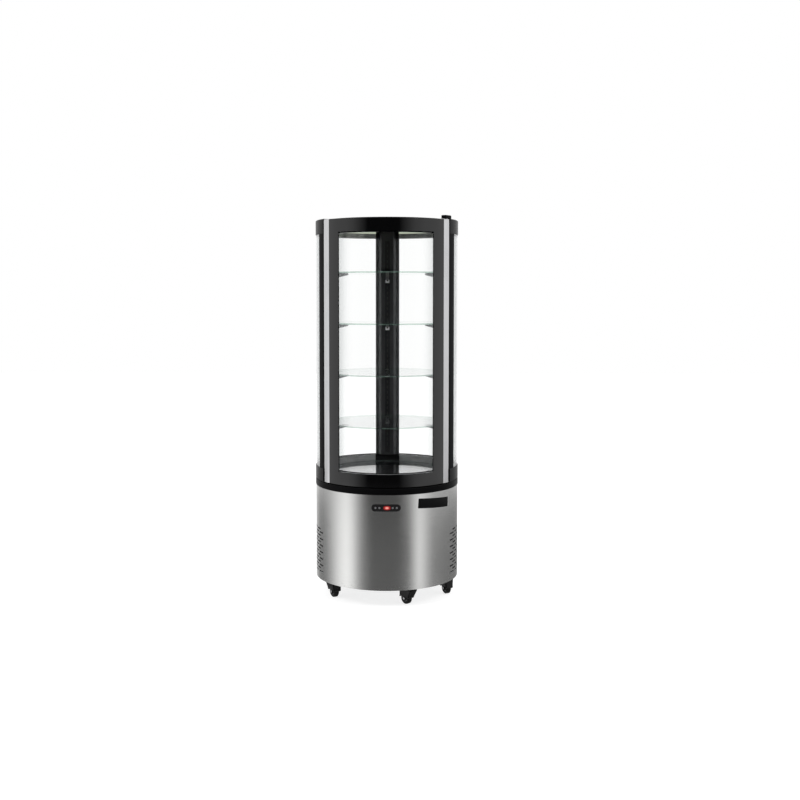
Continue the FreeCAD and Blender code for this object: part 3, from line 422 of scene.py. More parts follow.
@dataclass(frozen=True)
class GlassFinish(Finish):
    """Clear float glass, with an optional green rim and an optional printed black border."""

    tint: Colour = (0.999, 1.0, 0.9995, 1.0)
    slant_tint: Colour = (0.80, 0.81, 0.81, 1.0)
    slant_share: float = 0.7
    mirror: float = 0.0015
    haze: float = 0.001
    rim_r: float = 0.0
    rim_tone: Colour = (0.30, 0.44, 0.37, 1.0)
    rim_tint: Colour = (0.80, 0.90, 0.85, 1.0)
    window_angle: float = 0.0
    window_middle: float = 0.0
    window_low: float = 0.0
    window_high: float = 0.0
    print_tone: Colour = grey(0.0012, 0.0014)
    print_turn: float = 0.0008
    print_rise: float = 0.3 * MM
    slant: tuple[float, float] = (0.13, 0.55)
    smear_waves: Triple = (11.0, 11.0, 7.0)
    film_tone: Colour = (0.8, 0.82, 0.82, 1.0)

    def shade(self, graph: Graph) -> Wire:
        """See-through with mirror gloss at a glance, and solid where it is printed or at its rim.

        Args:
            graph: The material's empty tree.

        Returns:
            The last shader.
        """
        place = graph.place()
        facing = graph.add("ShaderNodeLayerWeight", {}, {"Blend": 0.5}, "Facing")
        gloss = self.mirror + facing ** 5.0 * (1.0 - self.mirror)
        slant = graph.step(facing, *self.slant) * self.slant_share
        clear = graph.mix(slant, graph.clear(self.tint), graph.clear(self.slant_tint))
        mirror = graph.add("ShaderNodeBsdfGlossy", {}, {"Color": WHITE, "Roughness": 0.0})
        shader = graph.mix(gloss, clear, mirror)
        smear = graph.step(graph.noise(place, self.smear_waves, 4.0), 0.5, 0.8)
        film = graph.surface(Base_Color=self.film_tone, Roughness=0.6)
        shader = graph.mix(smear * self.haze, shader, film)
        if self.rim_r:
            shader = graph.mix(self._rim(graph, place) * 0.9, shader, self._edge(graph, place))
        if self.window_angle:
            shader = graph.mix(self._print(graph, place), shader, self._enamel(graph, place))
        return shader

    def _rim(self, graph: Graph, place: Wire) -> Wire:
        """Mask of the ground rim of a round shelf."""
        across, deep, _ = graph.axes(place)
        return graph.step(graph.reach(across, deep), self.rim_r - 1.3 * MM, self.rim_r - 0.7 * MM)

    def _edge(self, graph: Graph, place: Wire) -> Wire:
        """Pale green of a ground edge, with light and dark stretches.

        Args:
            graph: The material's tree.
            place: Object coordinates.

        Returns:
            The shader of the edge.
        """
        stretch = graph.step(graph.noise(place, (14.0, 14.0, 2.0)), 0.38, 0.62)
        light = tuple(min(1.0, part * 1.9) for part in self.rim_tone)
        tone = graph.blend(stretch, self.rim_tone, light)
        ground = graph.surface(Base_Color=tone, Roughness=0.25 + stretch * 0.1)
        return graph.mix(0.14 + stretch * 0.12, graph.clear(self.rim_tint), ground)

    def _print(self, graph: Graph, place: Wire) -> Wire:
        """Mask of the border round the door's window.

        Args:
            graph: The material's tree.
            place: Object coordinates.

        Returns:
            1 where the pane is printed, and 0 in the window.
        """
        across, deep, height = graph.axes(place)
        half, turn, rise = math.radians(self.window_angle), self.print_turn, self.print_rise
        angle = abs(graph.bearing(across, deep) - math.radians(self.window_middle))
        sides = graph.step(angle, half - turn, half + turn)
        low = 1.0 - graph.step(height, self.window_low - rise, self.window_low + rise)
        return sides | low | graph.step(height, self.window_high - rise, self.window_high + rise)

    def _enamel(self, graph: Graph, place: Wire) -> Wire:
        """Black ceramic print behind polished glass.

        Args:
            graph: The material's tree.
            place: Object coordinates.

        Returns:
            The shader of the print.
        """
        cloud = graph.noise(place, (18.0, 18.0, 6.0), 3.0)
        tone = graph.blend(cloud, self.print_tone, tuple(part * 1.6 for part in self.print_tone))
        return graph.surface(Base_Color=tone, Roughness=0.03 + cloud * 0.04)


@dataclass(frozen=True)
class DisplayFinish(Finish):
    """Red window that glows from its middle."""

    middle_x: float
    middle_z: float
    half_w: float = 15.5 * MM
    half_h: float = 9.5 * MM
    lens: Colour = (0.05, 0.004, 0.004, 1.0)
    rim: Colour = (0.012, 0.003, 0.003, 1.0)
    red: Colour = (0.46, 0.032, 0.032, 1.0)
    bright: Colour = (0.93, 0.38, 0.31, 1.0)

    def shade(self, graph: Graph) -> Wire:
        """Glow that fades towards the rim of the window.

        Args:
            graph: The material's empty tree.

        Returns:
            The last shader.
        """
        across, _, height = graph.axes(graph.place())
        aside, above = (across - self.middle_x) / self.half_w, (height - self.middle_z) / self.half_h
        span = aside ** 2.0 + above ** 2.0
        core = 1.0 - graph.step(span, 0.02, 0.42)
        halo = 1.0 - graph.step(span, 0.2, 1.5)
        glow = graph.blend(core, graph.blend(halo, self.rim, self.red), self.bright)
        return graph.surface(Base_Color=self.lens, Roughness=0.12 + halo * 0.03, Emission_Color=glow,
                             Emission_Strength=1.0)


@dataclass(frozen=True)
class DiffuserFinish(Finish):
    """Milky cover of the ring light with a faint glow along its middle."""

    middle_r: float = 199.0 * MM
    half_w: float = 15.0 * MM
    glow: float = 0.1
    tone: Colour = (0.50, 0.51, 0.42, 1.0)
    second: Colour = (0.58, 0.59, 0.49, 1.0)
    dim: Colour = (0.55, 0.57, 0.45, 1.0)
    bright: Colour = (1.0, 1.0, 0.86, 1.0)

    def shade(self, graph: Graph) -> Wire:
        """Glow across the width of the ring.

        Args:
            graph: The material's empty tree.

        Returns:
            The last shader.
        """
        place = graph.place()
        across, deep, _ = graph.axes(place)
        offset = abs(graph.reach(across, deep) - self.middle_r) / self.half_w
        lit = 1.0 - graph.step(offset, 0.2, 1.0)
        cloud = graph.noise(place, (40.0, 40.0, 40.0))
        return graph.surface(Base_Color=graph.blend(cloud, self.tone, self.second),
                             Roughness=0.16 + cloud * 0.06,
                             Emission_Color=graph.blend(lit, self.dim, self.bright),
                             Emission_Strength=self.glow)


@dataclass(frozen=True)
class SheenLinerFinish(Finish):
    """Light grey liner inside the top ring, a painted sheen for the ring's black inner wall, with a lit strip
    along its upper edge.
    """

    strip_low: float
    glow: float = 0.42
    soft: float = 0.6 * MM
    tone: Colour = grey(0.26, 0.265)
    second: Colour = grey(0.72, 0.71)
    milky: Colour = (0.5, 0.52, 0.43, 1.0)
    lit: Colour = (0.9, 1.0, 0.78, 1.0)

    def shade(self, graph: Graph) -> Wire:
        """Satin light grey below, a painted sheen, and milky and faintly lit above.

        Args:
            graph: The material's empty tree.

        Returns:
            The last shader.
        """
        place = graph.place()
        _, _, height = graph.axes(place)
        strip = graph.step(height, self.strip_low - self.soft, self.strip_low + self.soft)
        cloud = graph.step(graph.noise(place, (9.0, 9.0, 3.0)), 0.4, 0.62)
        # Light grey clouds that stand in for the sheen on the ring's black inner wall: painted sheen.
        sheen_lining = graph.blend(cloud, self.tone, self.second)
        return graph.surface(Base_Color=graph.blend(strip, sheen_lining, self.milky), Roughness=0.3 + cloud * 0.1,
                             Emission_Color=graph.blend(strip, UNLIT, self.lit), Emission_Strength=self.glow)


@dataclass(frozen=True)
class CardFinish(Finish):
    """Light and dark studio cards side by side, one row above another."""

    lower: Profile
    upper: Profile
    split_low: float
    split_high: float

    def shade(self, graph: Graph) -> Wire:
        """Grey by angle from the front, from the lower row or the upper one.

        Args:
            graph: The material's empty tree.

        Returns:
            The last shader.
        """
        across, deep, height = graph.axes(graph.place())
        share = graph.bearing(across, deep) / math.tau + 0.5
        rows = []
        for row in (self.lower, self.upper):
            stops = [(turn / 360.0 + 0.5, level) for turn, level in row]
            rows.append(graph.add("ShaderNodeValToRGB", {"stops": stops}, {"Fac": share}))
        colour = graph.blend(graph.step(height, self.split_low, self.split_high), *rows)
        return graph.add("ShaderNodeEmission", {}, {"Color": colour, "Strength": 1.0})


@dataclass(frozen=True)
class FloorFinish(Finish):
    """Matt pale floor, lifted to white where it is seen."""

    tone: Colour = grey(0.4)
    lift: float = 0.78

    def shade(self, graph: Graph) -> Wire:
        """Plain matt for light, with an even lift for the eye.

        Args:
            graph: The material's empty tree.

        Returns:
            The last shader.
        """
        matt = graph.add("ShaderNodeBsdfDiffuse", {}, {"Color": self.tone})
        lift = graph.add("ShaderNodeEmission", {}, {"Color": WHITE, "Strength": self.lift})
        return graph.mix(graph.seen(), matt, graph.add("ShaderNodeAddShader", {}, {0: matt, 1: lift}))


STEEL = SheetSteelFinish("brushed_sheet_steel")
PAN_STEEL = GrainFinish("galvanised_pan", (0.34, 0.35, 0.36, 1.0), (0.46, 0.47, 0.48, 1.0), 0.42, 0.2, 1.0,
                        waves=120.0, drift=40.0)
DECK_STEEL = GrainFinish("deck_sheet", grey(0.16, 0.17), grey(0.22, 0.23), 0.3, 0.1, 1.0, Grain.UPRIGHT)
BLACK_TRIM = GrainFinish("satin_black_moulding", grey(0.008, 0.0085), grey(0.014, 0.015), 0.3, waves=1600.0,
                         bump=0.08, depth=0.2 * MM, gloss=0.045)
BLACK_RING = GrainFinish("matt_black_moulding", grey(0.0025, 0.0027), grey(0.0045, 0.005), 0.34, waves=1600.0,
                         bump=0.08, depth=0.2 * MM, gloss=0.03)
BLACK_POST = GrainFinish("black_post_section", grey(0.006, 0.0065), grey(0.010, 0.011), 0.34,
                         grain=Grain.UPRIGHT, waves=1100.0, bump=0.06, gloss=0.01)
BLACK_COAT = GrainFinish("black_powder_coat", (0.010, 0.0105, 0.011, 1.0), (0.014, 0.0145, 0.0155, 1.0),
                         0.3, 0.06, drift=5.0, bump=0.14)
COLUMN_COAT = GrainFinish("column_powder_coat", (0.042, 0.043, 0.045, 1.0), (0.068, 0.069, 0.072, 1.0),
                          0.34, 0.08, drift=5.0, bump=0.14)
RAIL_COAT = GrainFinish("dark_rail_plate", grey(0.03, 0.031), grey(0.056, 0.058), 0.36, 0.14, 0.5,
                        Grain.UPRIGHT, 800.0)
ZINC = GrainFinish("dull_zinc_plate", grey(0.33, 0.34), grey(0.47, 0.48), 0.38, 0.18, 1.0, waves=260.0,
                   drift=90.0)
ALUMINIUM = GrainFinish("satin_anodised_edge", grey(0.53, 0.54), grey(0.62, 0.63), 0.3, 0.12, 1.0,
                        Grain.UPRIGHT, 1500.0, bump=0.08, depth=0.2 * MM)
SPACER = GrainFinish("grey_spacer_bar", grey(0.14, 0.145), grey(0.24, 0.245), 0.5, waves=700.0)
SEAL_RUBBER = GrainFinish("soft_seal_rubber", grey(0.010, 0.0105), grey(0.018, 0.019), 0.62, 0.2,
                          waves=700.0, drift=20.0)
TREAD = GrainFinish("wheel_rubber", grey(0.006, 0.0063), (0.013, 0.0128, 0.0125, 1.0), 0.55, 0.25,
                    waves=500.0, drift=60.0, bump=0.2, gloss=0.15)
HUB = GrainFinish("grey_hub_moulding", grey(0.16, 0.165), grey(0.22, 0.225), 0.42, 0.14, waves=700.0)
CASTER_COAT = GrainFinish("caster_black_moulding", grey(0.004, 0.0044), grey(0.009, 0.0094), 0.3, 0.2,
                          waves=400.0, drift=50.0, gloss=0.2)
PANEL_GLOSS = GrainFinish("gloss_black_panel", grey(0.004, 0.0045), grey(0.007, 0.008), 0.1, 0.06,
                          waves=300.0, bump=0.02, coat=0.5)
PLATE_BLACK = GrainFinish("bare_black_plate", grey(0.002, 0.0022), grey(0.004, 0.0042), 0.5, 0.15,
                          waves=1200.0, bump=0.05, gloss=0.08)
CLIP_ZINC = GrainFinish("bright_zinc_clip", grey(0.78, 0.79), grey(0.92, 0.93), 0.32, 0.2, waves=300.0,
                        drift=90.0)
SCREEN = GrainFinish("dust_screen_cloth", grey(0.010, 0.0105), grey(0.030, 0.031), 0.7, 0.2, waves=1500.0,
                     bump=0.4, gloss=0.2)
BUTTON_CAP = GrainFinish("grey_button_cap", grey(0.15, 0.155), grey(0.24, 0.25), 0.45, 0.2)
CEILING = GrainFinish("ceiling_sheet", (0.33, 0.34, 0.28, 1.0), (0.36, 0.37, 0.31, 1.0), 0.16, 0.03,
                      waves=700.0, drift=3.0, bump=0.02)
LINER = GrainFinish("white_tub_liner", grey(0.62, 0.60), grey(0.70, 0.68), 0.4, 0.15, waves=500.0)
ENAMEL = GrainFinish("black_machine_enamel", grey(0.012), grey(0.028), 0.3, 0.2, waves=350.0, drift=25.0)
FINS = GrainFinish("bare_fin_stock", grey(0.48, 0.49), grey(0.62, 0.63), 0.36, 0.16, 1.0, Grain.UPRIGHT)
COPPER = GrainFinish("copper_pipe", (0.55, 0.24, 0.12, 1.0), (0.72, 0.38, 0.24, 1.0), 0.28, 0.2, 1.0,
                     waves=200.0, drift=30.0)
FAN_BLACK = GrainFinish("black_fan_moulding", grey(0.018, 0.019), grey(0.03, 0.032), 0.45, 0.15)
COLLAR_LINER = GrainFinish("grey_collar_lining", grey(0.26, 0.264), grey(0.50, 0.505), 0.36, 0.12,
                           grain=Grain.ROUND, drift=14.0, bump=0.06)
PLAIN_GLASS = GlassFinish("clear_pane")
SHELF_GLASS = GlassFinish("shelf_glass", mirror=0.02, rim_r=0.278)
FLOOR_GLASS = GlassFinish("floor_glass", mirror=0.06, rim_r=0.278, rim_tone=(0.46, 0.52, 0.49, 1.0))
DOOR_GLASS = GlassFinish("printed_door_pane", window_angle=39.85, window_middle=-0.31, window_low=COLLAR_TOP,
                         window_high=RING_LOW + 2.5 * MM)
LENS_MIDDLE = (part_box("display_lens")[0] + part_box("display_lens")[1]) / 2
DISPLAY = DisplayFinish("red_display", LENS_MIDDLE.x, LENS_MIDDLE.z)
DIFFUSER = DiffuserFinish("ring_light_cover")
# Light grey liner for the top ring: a painted sheen on its black inner wall.
RING_SHEEN_LINER = SheenLinerFinish("ring_lining_painted_sheen", CEILING_LOW - 18.0 * MM)
FLOOR = FloorFinish("pale_floor")


# Making pieces


def polar(radius: float, angle: float, z: float) -> Vector:
    """A point at an angle from the front, in degrees, growing to the right."""
    turn = math.radians(angle)
    return Vector((radius * math.sin(turn), -radius * math.cos(turn), z))


def dress(finish: Finish, nodes: Iterable[str]) -> None:
    """Give CAD nodes their finish.

    Args:
        finish: The finish to use.
        nodes: Names of the nodes.
    """
    for name in nodes:
        node = frame["nodes"][name]
        if not node.material_slots:
            node.data.materials.append(None)
        for slot in node.material_slots:
            slot.material = finish.material()
        LOG.info("dressed %s in %s", name, finish.name)


def close_up(shape: bmesh.types.BMesh, mesh: bpy.types.Mesh) -> None:
    """Merge a closed shape, turn its faces outwards, shade it by angle and write it down.

    Args:
        shape: The shape, freed here.
        mesh: The mesh that takes it.
    """
    bmesh.ops.remove_doubles(shape, verts=shape.verts, dist=MERGE)
    bmesh.ops.recalc_face_normals(shape, faces=shape.faces)
    shape.normal_update()
    for face in shape.faces:
        face.smooth = True
    for edge in shape.edges:
        edge.smooth = len(edge.link_faces) == 2 and edge.calc_face_angle(0.0) < SHARP
    shape.to_mesh(mesh)
    shape.free()


def link(name: str, data: bpy.types.ID) -> bpy.types.Object:
    """Make an object at the origin and put it in the scene.

    Args:
        name: The object's name.
        data: Its mesh, curve, lamp or camera.

    Returns:
        The object.
    """
    made = bpy.data.objects.new(name, data)
    bpy.context.scene.collection.objects.link(made)
    return made


def as_object(name: str, shape: bmesh.types.BMesh, finish: Finish) -> bpy.types.Object:
    """Turn a bmesh into a finished object at the origin.

    Args:
        name: The piece's name.
        shape: The shape, freed here.
        finish: Its finish.

    Returns:
        The new object.
    """
    mesh = bpy.data.meshes.new(name)
    close_up(shape, mesh)
    mesh.materials.append(finish.material())
    return link(name, mesh)


def settle(piece: bpy.types.Object, body: str) -> None:
    """Hand a piece to its body and log it.

    Args:
        piece: The finished piece.
        body: Name of the CAD body it moves with.
    """
    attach(piece, body)
    LOG.info("made %s on %s, %d faces", piece.name, body, len(piece.data.polygons))


def join(shape: bmesh.types.BMesh, here: Sequence[bmesh.types.BMVert],
         there: Sequence[bmesh.types.BMVert]) -> None:
    """Join two rows of points with a closed band of faces.

    Args:
        shape: The shape that takes the faces.
        here: The first row.
        there: The second row, of the same length.
    """
    for k in range(len(here)):
        shape.faces.new((here[k], here[k - 1], there[k - 1], there[k]))


def turned(profile: Profile, steps: int, shape: bmesh.types.BMesh | None = None,
           place: Matrix = Matrix()) -> bmesh.types.BMesh:
    """Turn a closed outline about Z.

    Args:
        profile: Corners as radius and height.
        steps: Steps round the axis.
        shape: A shape to add to, or none for a new one.
        place: Where the turned outline goes.

    Returns:
        The shape.
    """
    shape = bmesh.new() if shape is None else shape
    rings = []
    for step in range(steps):
        side, along = math.sin(math.tau * step / steps), math.cos(math.tau * step / steps)
        rings.append([shape.verts.new(place @ Vector((r * along, r * side, z))) for r, z in profile])
    for here, there in zip(rings, rings[1:] + rings[:1]):
        join(shape, here, there)
    bmesh.ops.remove_doubles(shape, verts=shape.verts, dist=MERGE / 10)
    bmesh.ops.dissolve_degenerate(shape, edges=shape.edges, dist=MERGE / 100)
    return shape


def geometry_graph(name: str, kinds: dict[str, str]) -> tuple[Graph, dict[str, Wire]]:
    """Start a Geometry Nodes tree.

    Args:
        name: Name of the tree.
        kinds: Socket kind of each named input.

    Returns:
        The graph, and a wire for each input.
    """
    tree = bpy.data.node_groups.new(name, "GeometryNodeTree")
    for title, kind in kinds.items():
        tree.interface.new_socket(title, in_out="INPUT", socket_type="NodeSocket" + kind)
    tree.interface.new_socket("Piece", in_out="OUTPUT", socket_type="NodeSocketGeometry")
    graph = Graph(tree)
    given = graph.add("NodeGroupInput").socket.node.outputs
    return graph, {title: Wire(graph, given[title]) for title in kinds}


def bake(name: str, tree: bpy.types.NodeTree, values: dict, tool: bpy.types.Object) -> bpy.types.Object:
    """Run a Geometry Nodes tree and keep its result as a plain mesh.

    Args:
        name: Name of the piece.
        tree: The tree to run.
        values: A value for each of its named inputs.
        tool: The object that the tree copies or sweeps, removed afterwards.

    Returns:
        The piece, with no modifier left on it.
    """
    piece = link(name, bpy.data.meshes.new(name))
    modifier = piece.modifiers.new("nodes", "NODES")
    modifier.node_group = tree
    for item in tree.interface.items_tree:
        if item.in_out == "INPUT":
            modifier[item.identifier] = values[item.name]
    ready = piece.evaluated_get(bpy.context.evaluated_depsgraph_get())
    mesh = bpy.data.meshes.new_from_object(ready)
    piece.modifiers.clear()
    piece.data = mesh
    mesh.name = name
    bpy.data.objects.remove(tool)
    return piece


def bent_plate(name: str, size: Triple, angle: float, radius: float, height: float, finish: Finish,
               tilt: float = 0.0, cuts: int = 28) -> bpy.types.Object:
    """A plate with rounded corners, bent round the case.

    Args:
        name: Name of the piece.
        size: Width along the curve, height and thickness.
        angle: Angle of its middle from the front.
        radius: Radius of its back face.
        height: Height of its middle.
        finish: Its finish.
        tilt: Turn in its own face, in degrees.
        cuts: Flat strips along the curve.

    Returns:
        The plate.
    """
    width, tall, thick = size
    corner, rim = tall * 0.06, thick * 0.35
    shape = bmesh.new()
    bmesh.ops.create_cube(shape, size=1.0)
    for vert in shape.verts:
        vert.co = Vector((vert.co.x * width, (vert.co.y + 0.5) * thick, vert.co.z * tall))
    across = [edge for edge in shape.edges if abs(edge.verts[0].co.y - edge.verts[1].co.y) > thick / 2]
    bmesh.ops.bevel(shape, geom=across, offset=corner, segments=4, affect="EDGES", profile=0.5)
    front = [edge for edge in shape.edges if min(vert.co.y for vert in edge.verts) > thick * 0.9]
    bmesh.ops.bevel(shape, geom=front, offset=rim, segments=2, affect="EDGES", profile=0.5)
    for cut in range(1, cuts):
        at = Vector(((cut / cuts - 0.5) * width, 0.0, 0.0))
        geometry = shape.verts[:] + shape.edges[:] + shape.faces[:]
        bmesh.ops.bisect_plane(shape, geom=geometry, plane_co=at, plane_no=(1.0, 0.0, 0.0))
    lean = math.radians(tilt)
    for vert in shape.verts:
        along = vert.co.x * math.cos(lean) - vert.co.z * math.sin(lean)
        rise = vert.co.x * math.sin(lean) + vert.co.z * math.cos(lean)
        vert.co = polar(radius + vert.co.y, angle + math.degrees(along / radius), height + rise)
    return as_object(name, shape, finish)


def plate_pair(name: str, size: Triple, angle: float, radius: float, height: float, finish: Finish,
               cuts: int) -> None:
    """Fit a bent plate on both sides of the cabinet.

    Args:
        name: Name of the pair; each plate adds its side.
        size: Width along the curve, height and thickness.
        angle: Angle of each plate's middle from the front.
        radius: Radius of the back faces.
        height: Height of the middles.
        finish: Finish of both.
        cuts: Flat strips along the curve.
    """
    for side, turn in (("right", angle), ("left", -angle)):
        plate = bent_plate(f"{name}_{side}", size, turn, radius, height, finish, cuts=cuts)
        settle(plate, Body.CABINET.value)


@dataclass
class HeadRow:
    """A row of small heads set round the case by Geometry Nodes.

    Each head is a copy of a turned mesh, laid on an arc and facing outwards or up.
    """

    name: str
    finish: Finish
    count: int
    radius: float
    first: float
    step: float
    height: float
    lift: float = 0.0
    rise: float = 0.0
    head_r: float = 3.4 * MM
    head_t: float = 1.3 * MM
    shape: bpy.types.Object | None = None

    def head(self) -> bpy.types.Object:
        """The given shape, or a low domed head with a socket in its middle.

        Returns:
            The head, at the origin and facing Z.
        """
        if self.shape:
            return self.shape
        r, t = self.head_r, self.head_t
        outline = [(0.0, 0.0), (r, 0.0), (r, t * 0.35), (r * 0.86, t * 0.75), (r * 0.62, t),
                   (r * 0.42, t), (r * 0.38, t * 0.45), (0.0, t * 0.45)]
        return as_object(self.name + "_head", turned(outline, 14), self.finish)

    def tree(self) -> bpy.types.NodeTree:
        """Build the node tree with its named inputs.

        Returns:
            The tree.
        """
        graph, size = geometry_graph(self.name, {
            "Head": "Object", "Count": "Int", "Radius": "Float", "First": "Float", "Step": "Float",
            "Height": "Float", "Lift": "Float", "Rise": "Float", "Finish": "Material"})
        index = graph.add("GeometryNodeInputIndex")
        angle = size["First"] + index * size["Step"]
        side, back = graph.calc("SINE", angle), 0.0 - graph.calc("COSINE", angle)
        level = size["Height"] + index * size["Lift"]
        spot = graph.vector(side * size["Radius"], back * size["Radius"], level)
        flat = 1.0 - size["Rise"]
        out = graph.vector(side * flat, back * flat, size["Rise"])
        turn = graph.add("FunctionNodeAlignRotationToVector", {"axis": "Z"}, {"Vector": out})
        points = graph.add("GeometryNodePoints", {}, {"Count": size["Count"], "Position": spot})
        head = graph.add("GeometryNodeObjectInfo", {}, {"Object": size["Head"]}, "Geometry")
        laid = {"Points": points, "Instance": head, "Rotation": turn}
        graph.end_geometry(graph.add("GeometryNodeInstanceOnPoints", {}, laid), size["Finish"])
        return graph.tree

    def build(self) -> bpy.types.Object:
        """Lay the row.

        Returns:
            The finished piece.
        """
        head = self.head()
        values = {"Head": head, "Count": self.count, "Radius": self.radius,
                  "First": math.radians(self.first), "Step": math.radians(self.step),
                  "Height": self.height, "Lift": self.lift, "Rise": self.rise,
                  "Finish": self.finish.material()}
        return bake(self.name, self.tree(), values, head)


# Sub-assemblies


@dataclass
class BaseCabinet:
    """Steel base with its slotted sides, black ring, bare plate and screws."""

    skirt_r: float = 0.338
    seam_angles: tuple[float, ...] = (123.0, 237.0)
    seam_low: float = BASE_LOW + 31.0 * MM
    seam_rise: float = 0.19
    seam_screws: int = 3
    plate: Triple = (0.186, 0.045, 0.9 * MM)
    plate_angle: float = 41.3
    plate_z: float = BASE_TOP - 49.5 * MM
    plate_tilt: float = -4.0
    screen: Triple = (0.345, 0.218, 1.0 * MM)
    screen_r: float = 0.3346
    screen_z: float = BASE_LOW + 151.5 * MM
    screen_angle: float = 90.0
    screen_cuts: int = 28

    def build(self) -> None:
        """Dress the panels, then add the plate, the screws and the dust screens."""
        dress(STEEL, ("base_front_panel", "base_left_grille", "base_right_grille", "base_rear_panel"))
        dress(PAN_STEEL, ("base_pan",))
        dress(BLACK_RING, ("base_ring",))
        dress(PANEL_GLOSS, ("cable_gland",))
        plate = bent_plate("bare_plate", self.plate, self.plate_angle, self.skirt_r, self.plate_z,
                           PLATE_BLACK, self.plate_tilt)
        settle(plate, Body.CABINET.value)
        for side, angle in zip(("right", "left"), self.seam_angles):
            row = HeadRow(f"rear_{side}_screws", ZINC, self.seam_screws, self.skirt_r, angle, 0.0,
                          self.seam_low, self.seam_rise)
            settle(row.build(), Body.CABINET.value)
        plate_pair("dust_screen", self.screen, self.screen_angle, self.screen_r, self.screen_z, SCREEN,
                   self.screen_cuts)


@dataclass
class ControlPanel:
    """Gloss bezel with its red display and four caps."""

    buttons: int = 4

    def build(self) -> None:
        """Dress the panel."""
        dress(PANEL_GLOSS, ("control_bezel",))
        dress(DISPLAY, ("display_lens",))
        dress(BUTTON_CAP, (f"button_{k + 1}" for k in range(self.buttons)))


@dataclass
class GlassBody:
    """Fixed glass, posts, rear column, shelves and cold well."""

    shelves: int = 4
    clip_w: float = 20.0 * MM
    clip_h: float = 17.0 * MM
    clip_t: float = 1.6 * MM
    clip_lip: float = 5.0 * MM
    stem_w: float = 14.0 * MM
    stem_h: float = 12.0 * MM
    rail_front: float = 0.281
    liner_w: float = 0.529
    liner_t: float = 1.0 * MM
    liner_angle: float = 115.5
    liner_r: float = 0.2888
    liner_low: float = top_of("floor_glass") - 4.0 * MM
    liner_high: float = COLLAR_TOP - 0.5 * MM
    liner_cuts: int = 60
    clip_drop: float = 33.0 * MM

    def build(self) -> None:
        """Dress the glass body, hang the clips and line the collar."""
        dress(BLACK_TRIM, ("lower_collar", "collar_sill"))
        dress(BLACK_POST, ("front_post_left", "front_post_right"))
        dress(COLUMN_COAT, ("rear_column",))
        dress(RAIL_COAT, ("shelf_rail",))
        dress(ZINC, ("shelf_brackets",))
        dress(PLAIN_GLASS, ("side_outer_panes", "side_inner_panes"))
        dress(SPACER, ("glass_spacers",))
        dress(SHELF_GLASS, (f"shelf_{k + 1}" for k in range(self.shelves)))
        dress(FLOOR_GLASS, ("floor_glass",))
        dress(DECK_STEEL, ("deck_plate",))
        dress(LINER, ("evaporator_tub",))
        settle(self.clips(), Body.CABINET.value)
        size = (self.liner_w, self.liner_high - self.liner_low, self.liner_t)
        middle = (self.liner_low + self.liner_high) / 2
        plate_pair("collar_liner", size, self.liner_angle, self.liner_r, middle, COLLAR_LINER,
                   self.liner_cuts)

    def clips(self) -> bpy.types.Object:
        """Hook plates of the rear brackets, one under each shelf.

        Returns:
            The row of plates.
        """
        lows = [low_of(f"shelf_{k + 1}") for k in range(self.shelves)]
        row = HeadRow("rear_clips", CLIP_ZINC, self.shelves, -self.rail_front, 0.0, 0.0,
                      lows[0] - self.clip_drop, lows[1] - lows[0], shape=self.clip())
        return row.build()

    def clip(self) -> bpy.types.Object:
        """A notched plate, a folded lip at its foot and a stem above, facing Z, its height along Y.

        Returns:
            The clip.
        """
        w, h, t = self.clip_w / 2, self.clip_h / 2, self.clip_t
        stem, notch, lip_w = self.stem_w / 2, self.clip_w * 0.2, self.clip_w * 0.485
        foot, top, head = -h * 0.99, h * 1.02, h + self.stem_h
        plate = [(-w, -h), (w, -h), (w, h), (notch, h), (notch, 0.0), (-notch, 0.0), (-notch, h), (-w, h)]
        lip = [(-lip_w, foot), (lip_w, foot), (lip_w, t - h), (-lip_w, t - h)]
        neck = [(-stem, top), (stem, top), (stem, head), (-stem, head)]
        shape = bmesh.new()
        for outline, start, depth in ((plate, 0.0, t), (lip, t * 0.3, self.clip_lip), (neck, 0.0, t)):
            face = shape.faces.new([shape.verts.new((x, y, start)) for x, y in outline])
            grown = bmesh.ops.extrude_face_region(shape, geom=[face])["geom"]
            for vert in (item for item in grown if isinstance(item, bmesh.types.BMVert)):
                vert.co.z += depth
        bmesh.ops.bevel(shape, geom=shape.edges[:], offset=t * 0.2, segments=1, affect="EDGES")
        return as_object("rear_clip", shape, CLIP_ZINC)


@dataclass
class TopCap:
    """Top ring, cover, ceiling, ring light and hinge cap."""

    screw_r: float = 0.276
    screw_z: float = top_of("top_cover")
    screws: int = 6
    screw_first: float = 30.0
    liner_r: float = 0.2755
    liner_t: float = 1.2 * MM
    liner_span: float = 128.0
    liner_angle: float = 104.0
    liner_cuts: int = 64

    def build(self) -> None:
        """Dress the top, line the ring with a painted sheen and screw the cover down."""
        dress(BLACK_TRIM, ("top_ring",))
        dress(BLACK_RING, ("top_hinge_bracket",))
        dress(BLACK_COAT, ("top_cover",))
        dress(CEILING, ("ceiling_panel",))
        dress(DIFFUSER, ("ceiling_light",))
        row = HeadRow("cover_screws", ZINC, self.screws, self.screw_r, self.screw_first, 360.0 / self.screws,
                      self.screw_z, rise=1.0)
        settle(row.build(), Body.CABINET.value)
        # The ring liner's light grey is a painted sheen on the ring's black inner wall.
        width = self.liner_r * math.radians(self.liner_span)
        size = (width, CEILING_LOW - RING_LOW - 1.0 * MM, self.liner_t)
        middle = (CEILING_LOW + RING_LOW) / 2
        plate_pair("ring_liner", size, self.liner_angle, self.liner_r, middle, RING_SHEEN_LINER, self.liner_cuts)


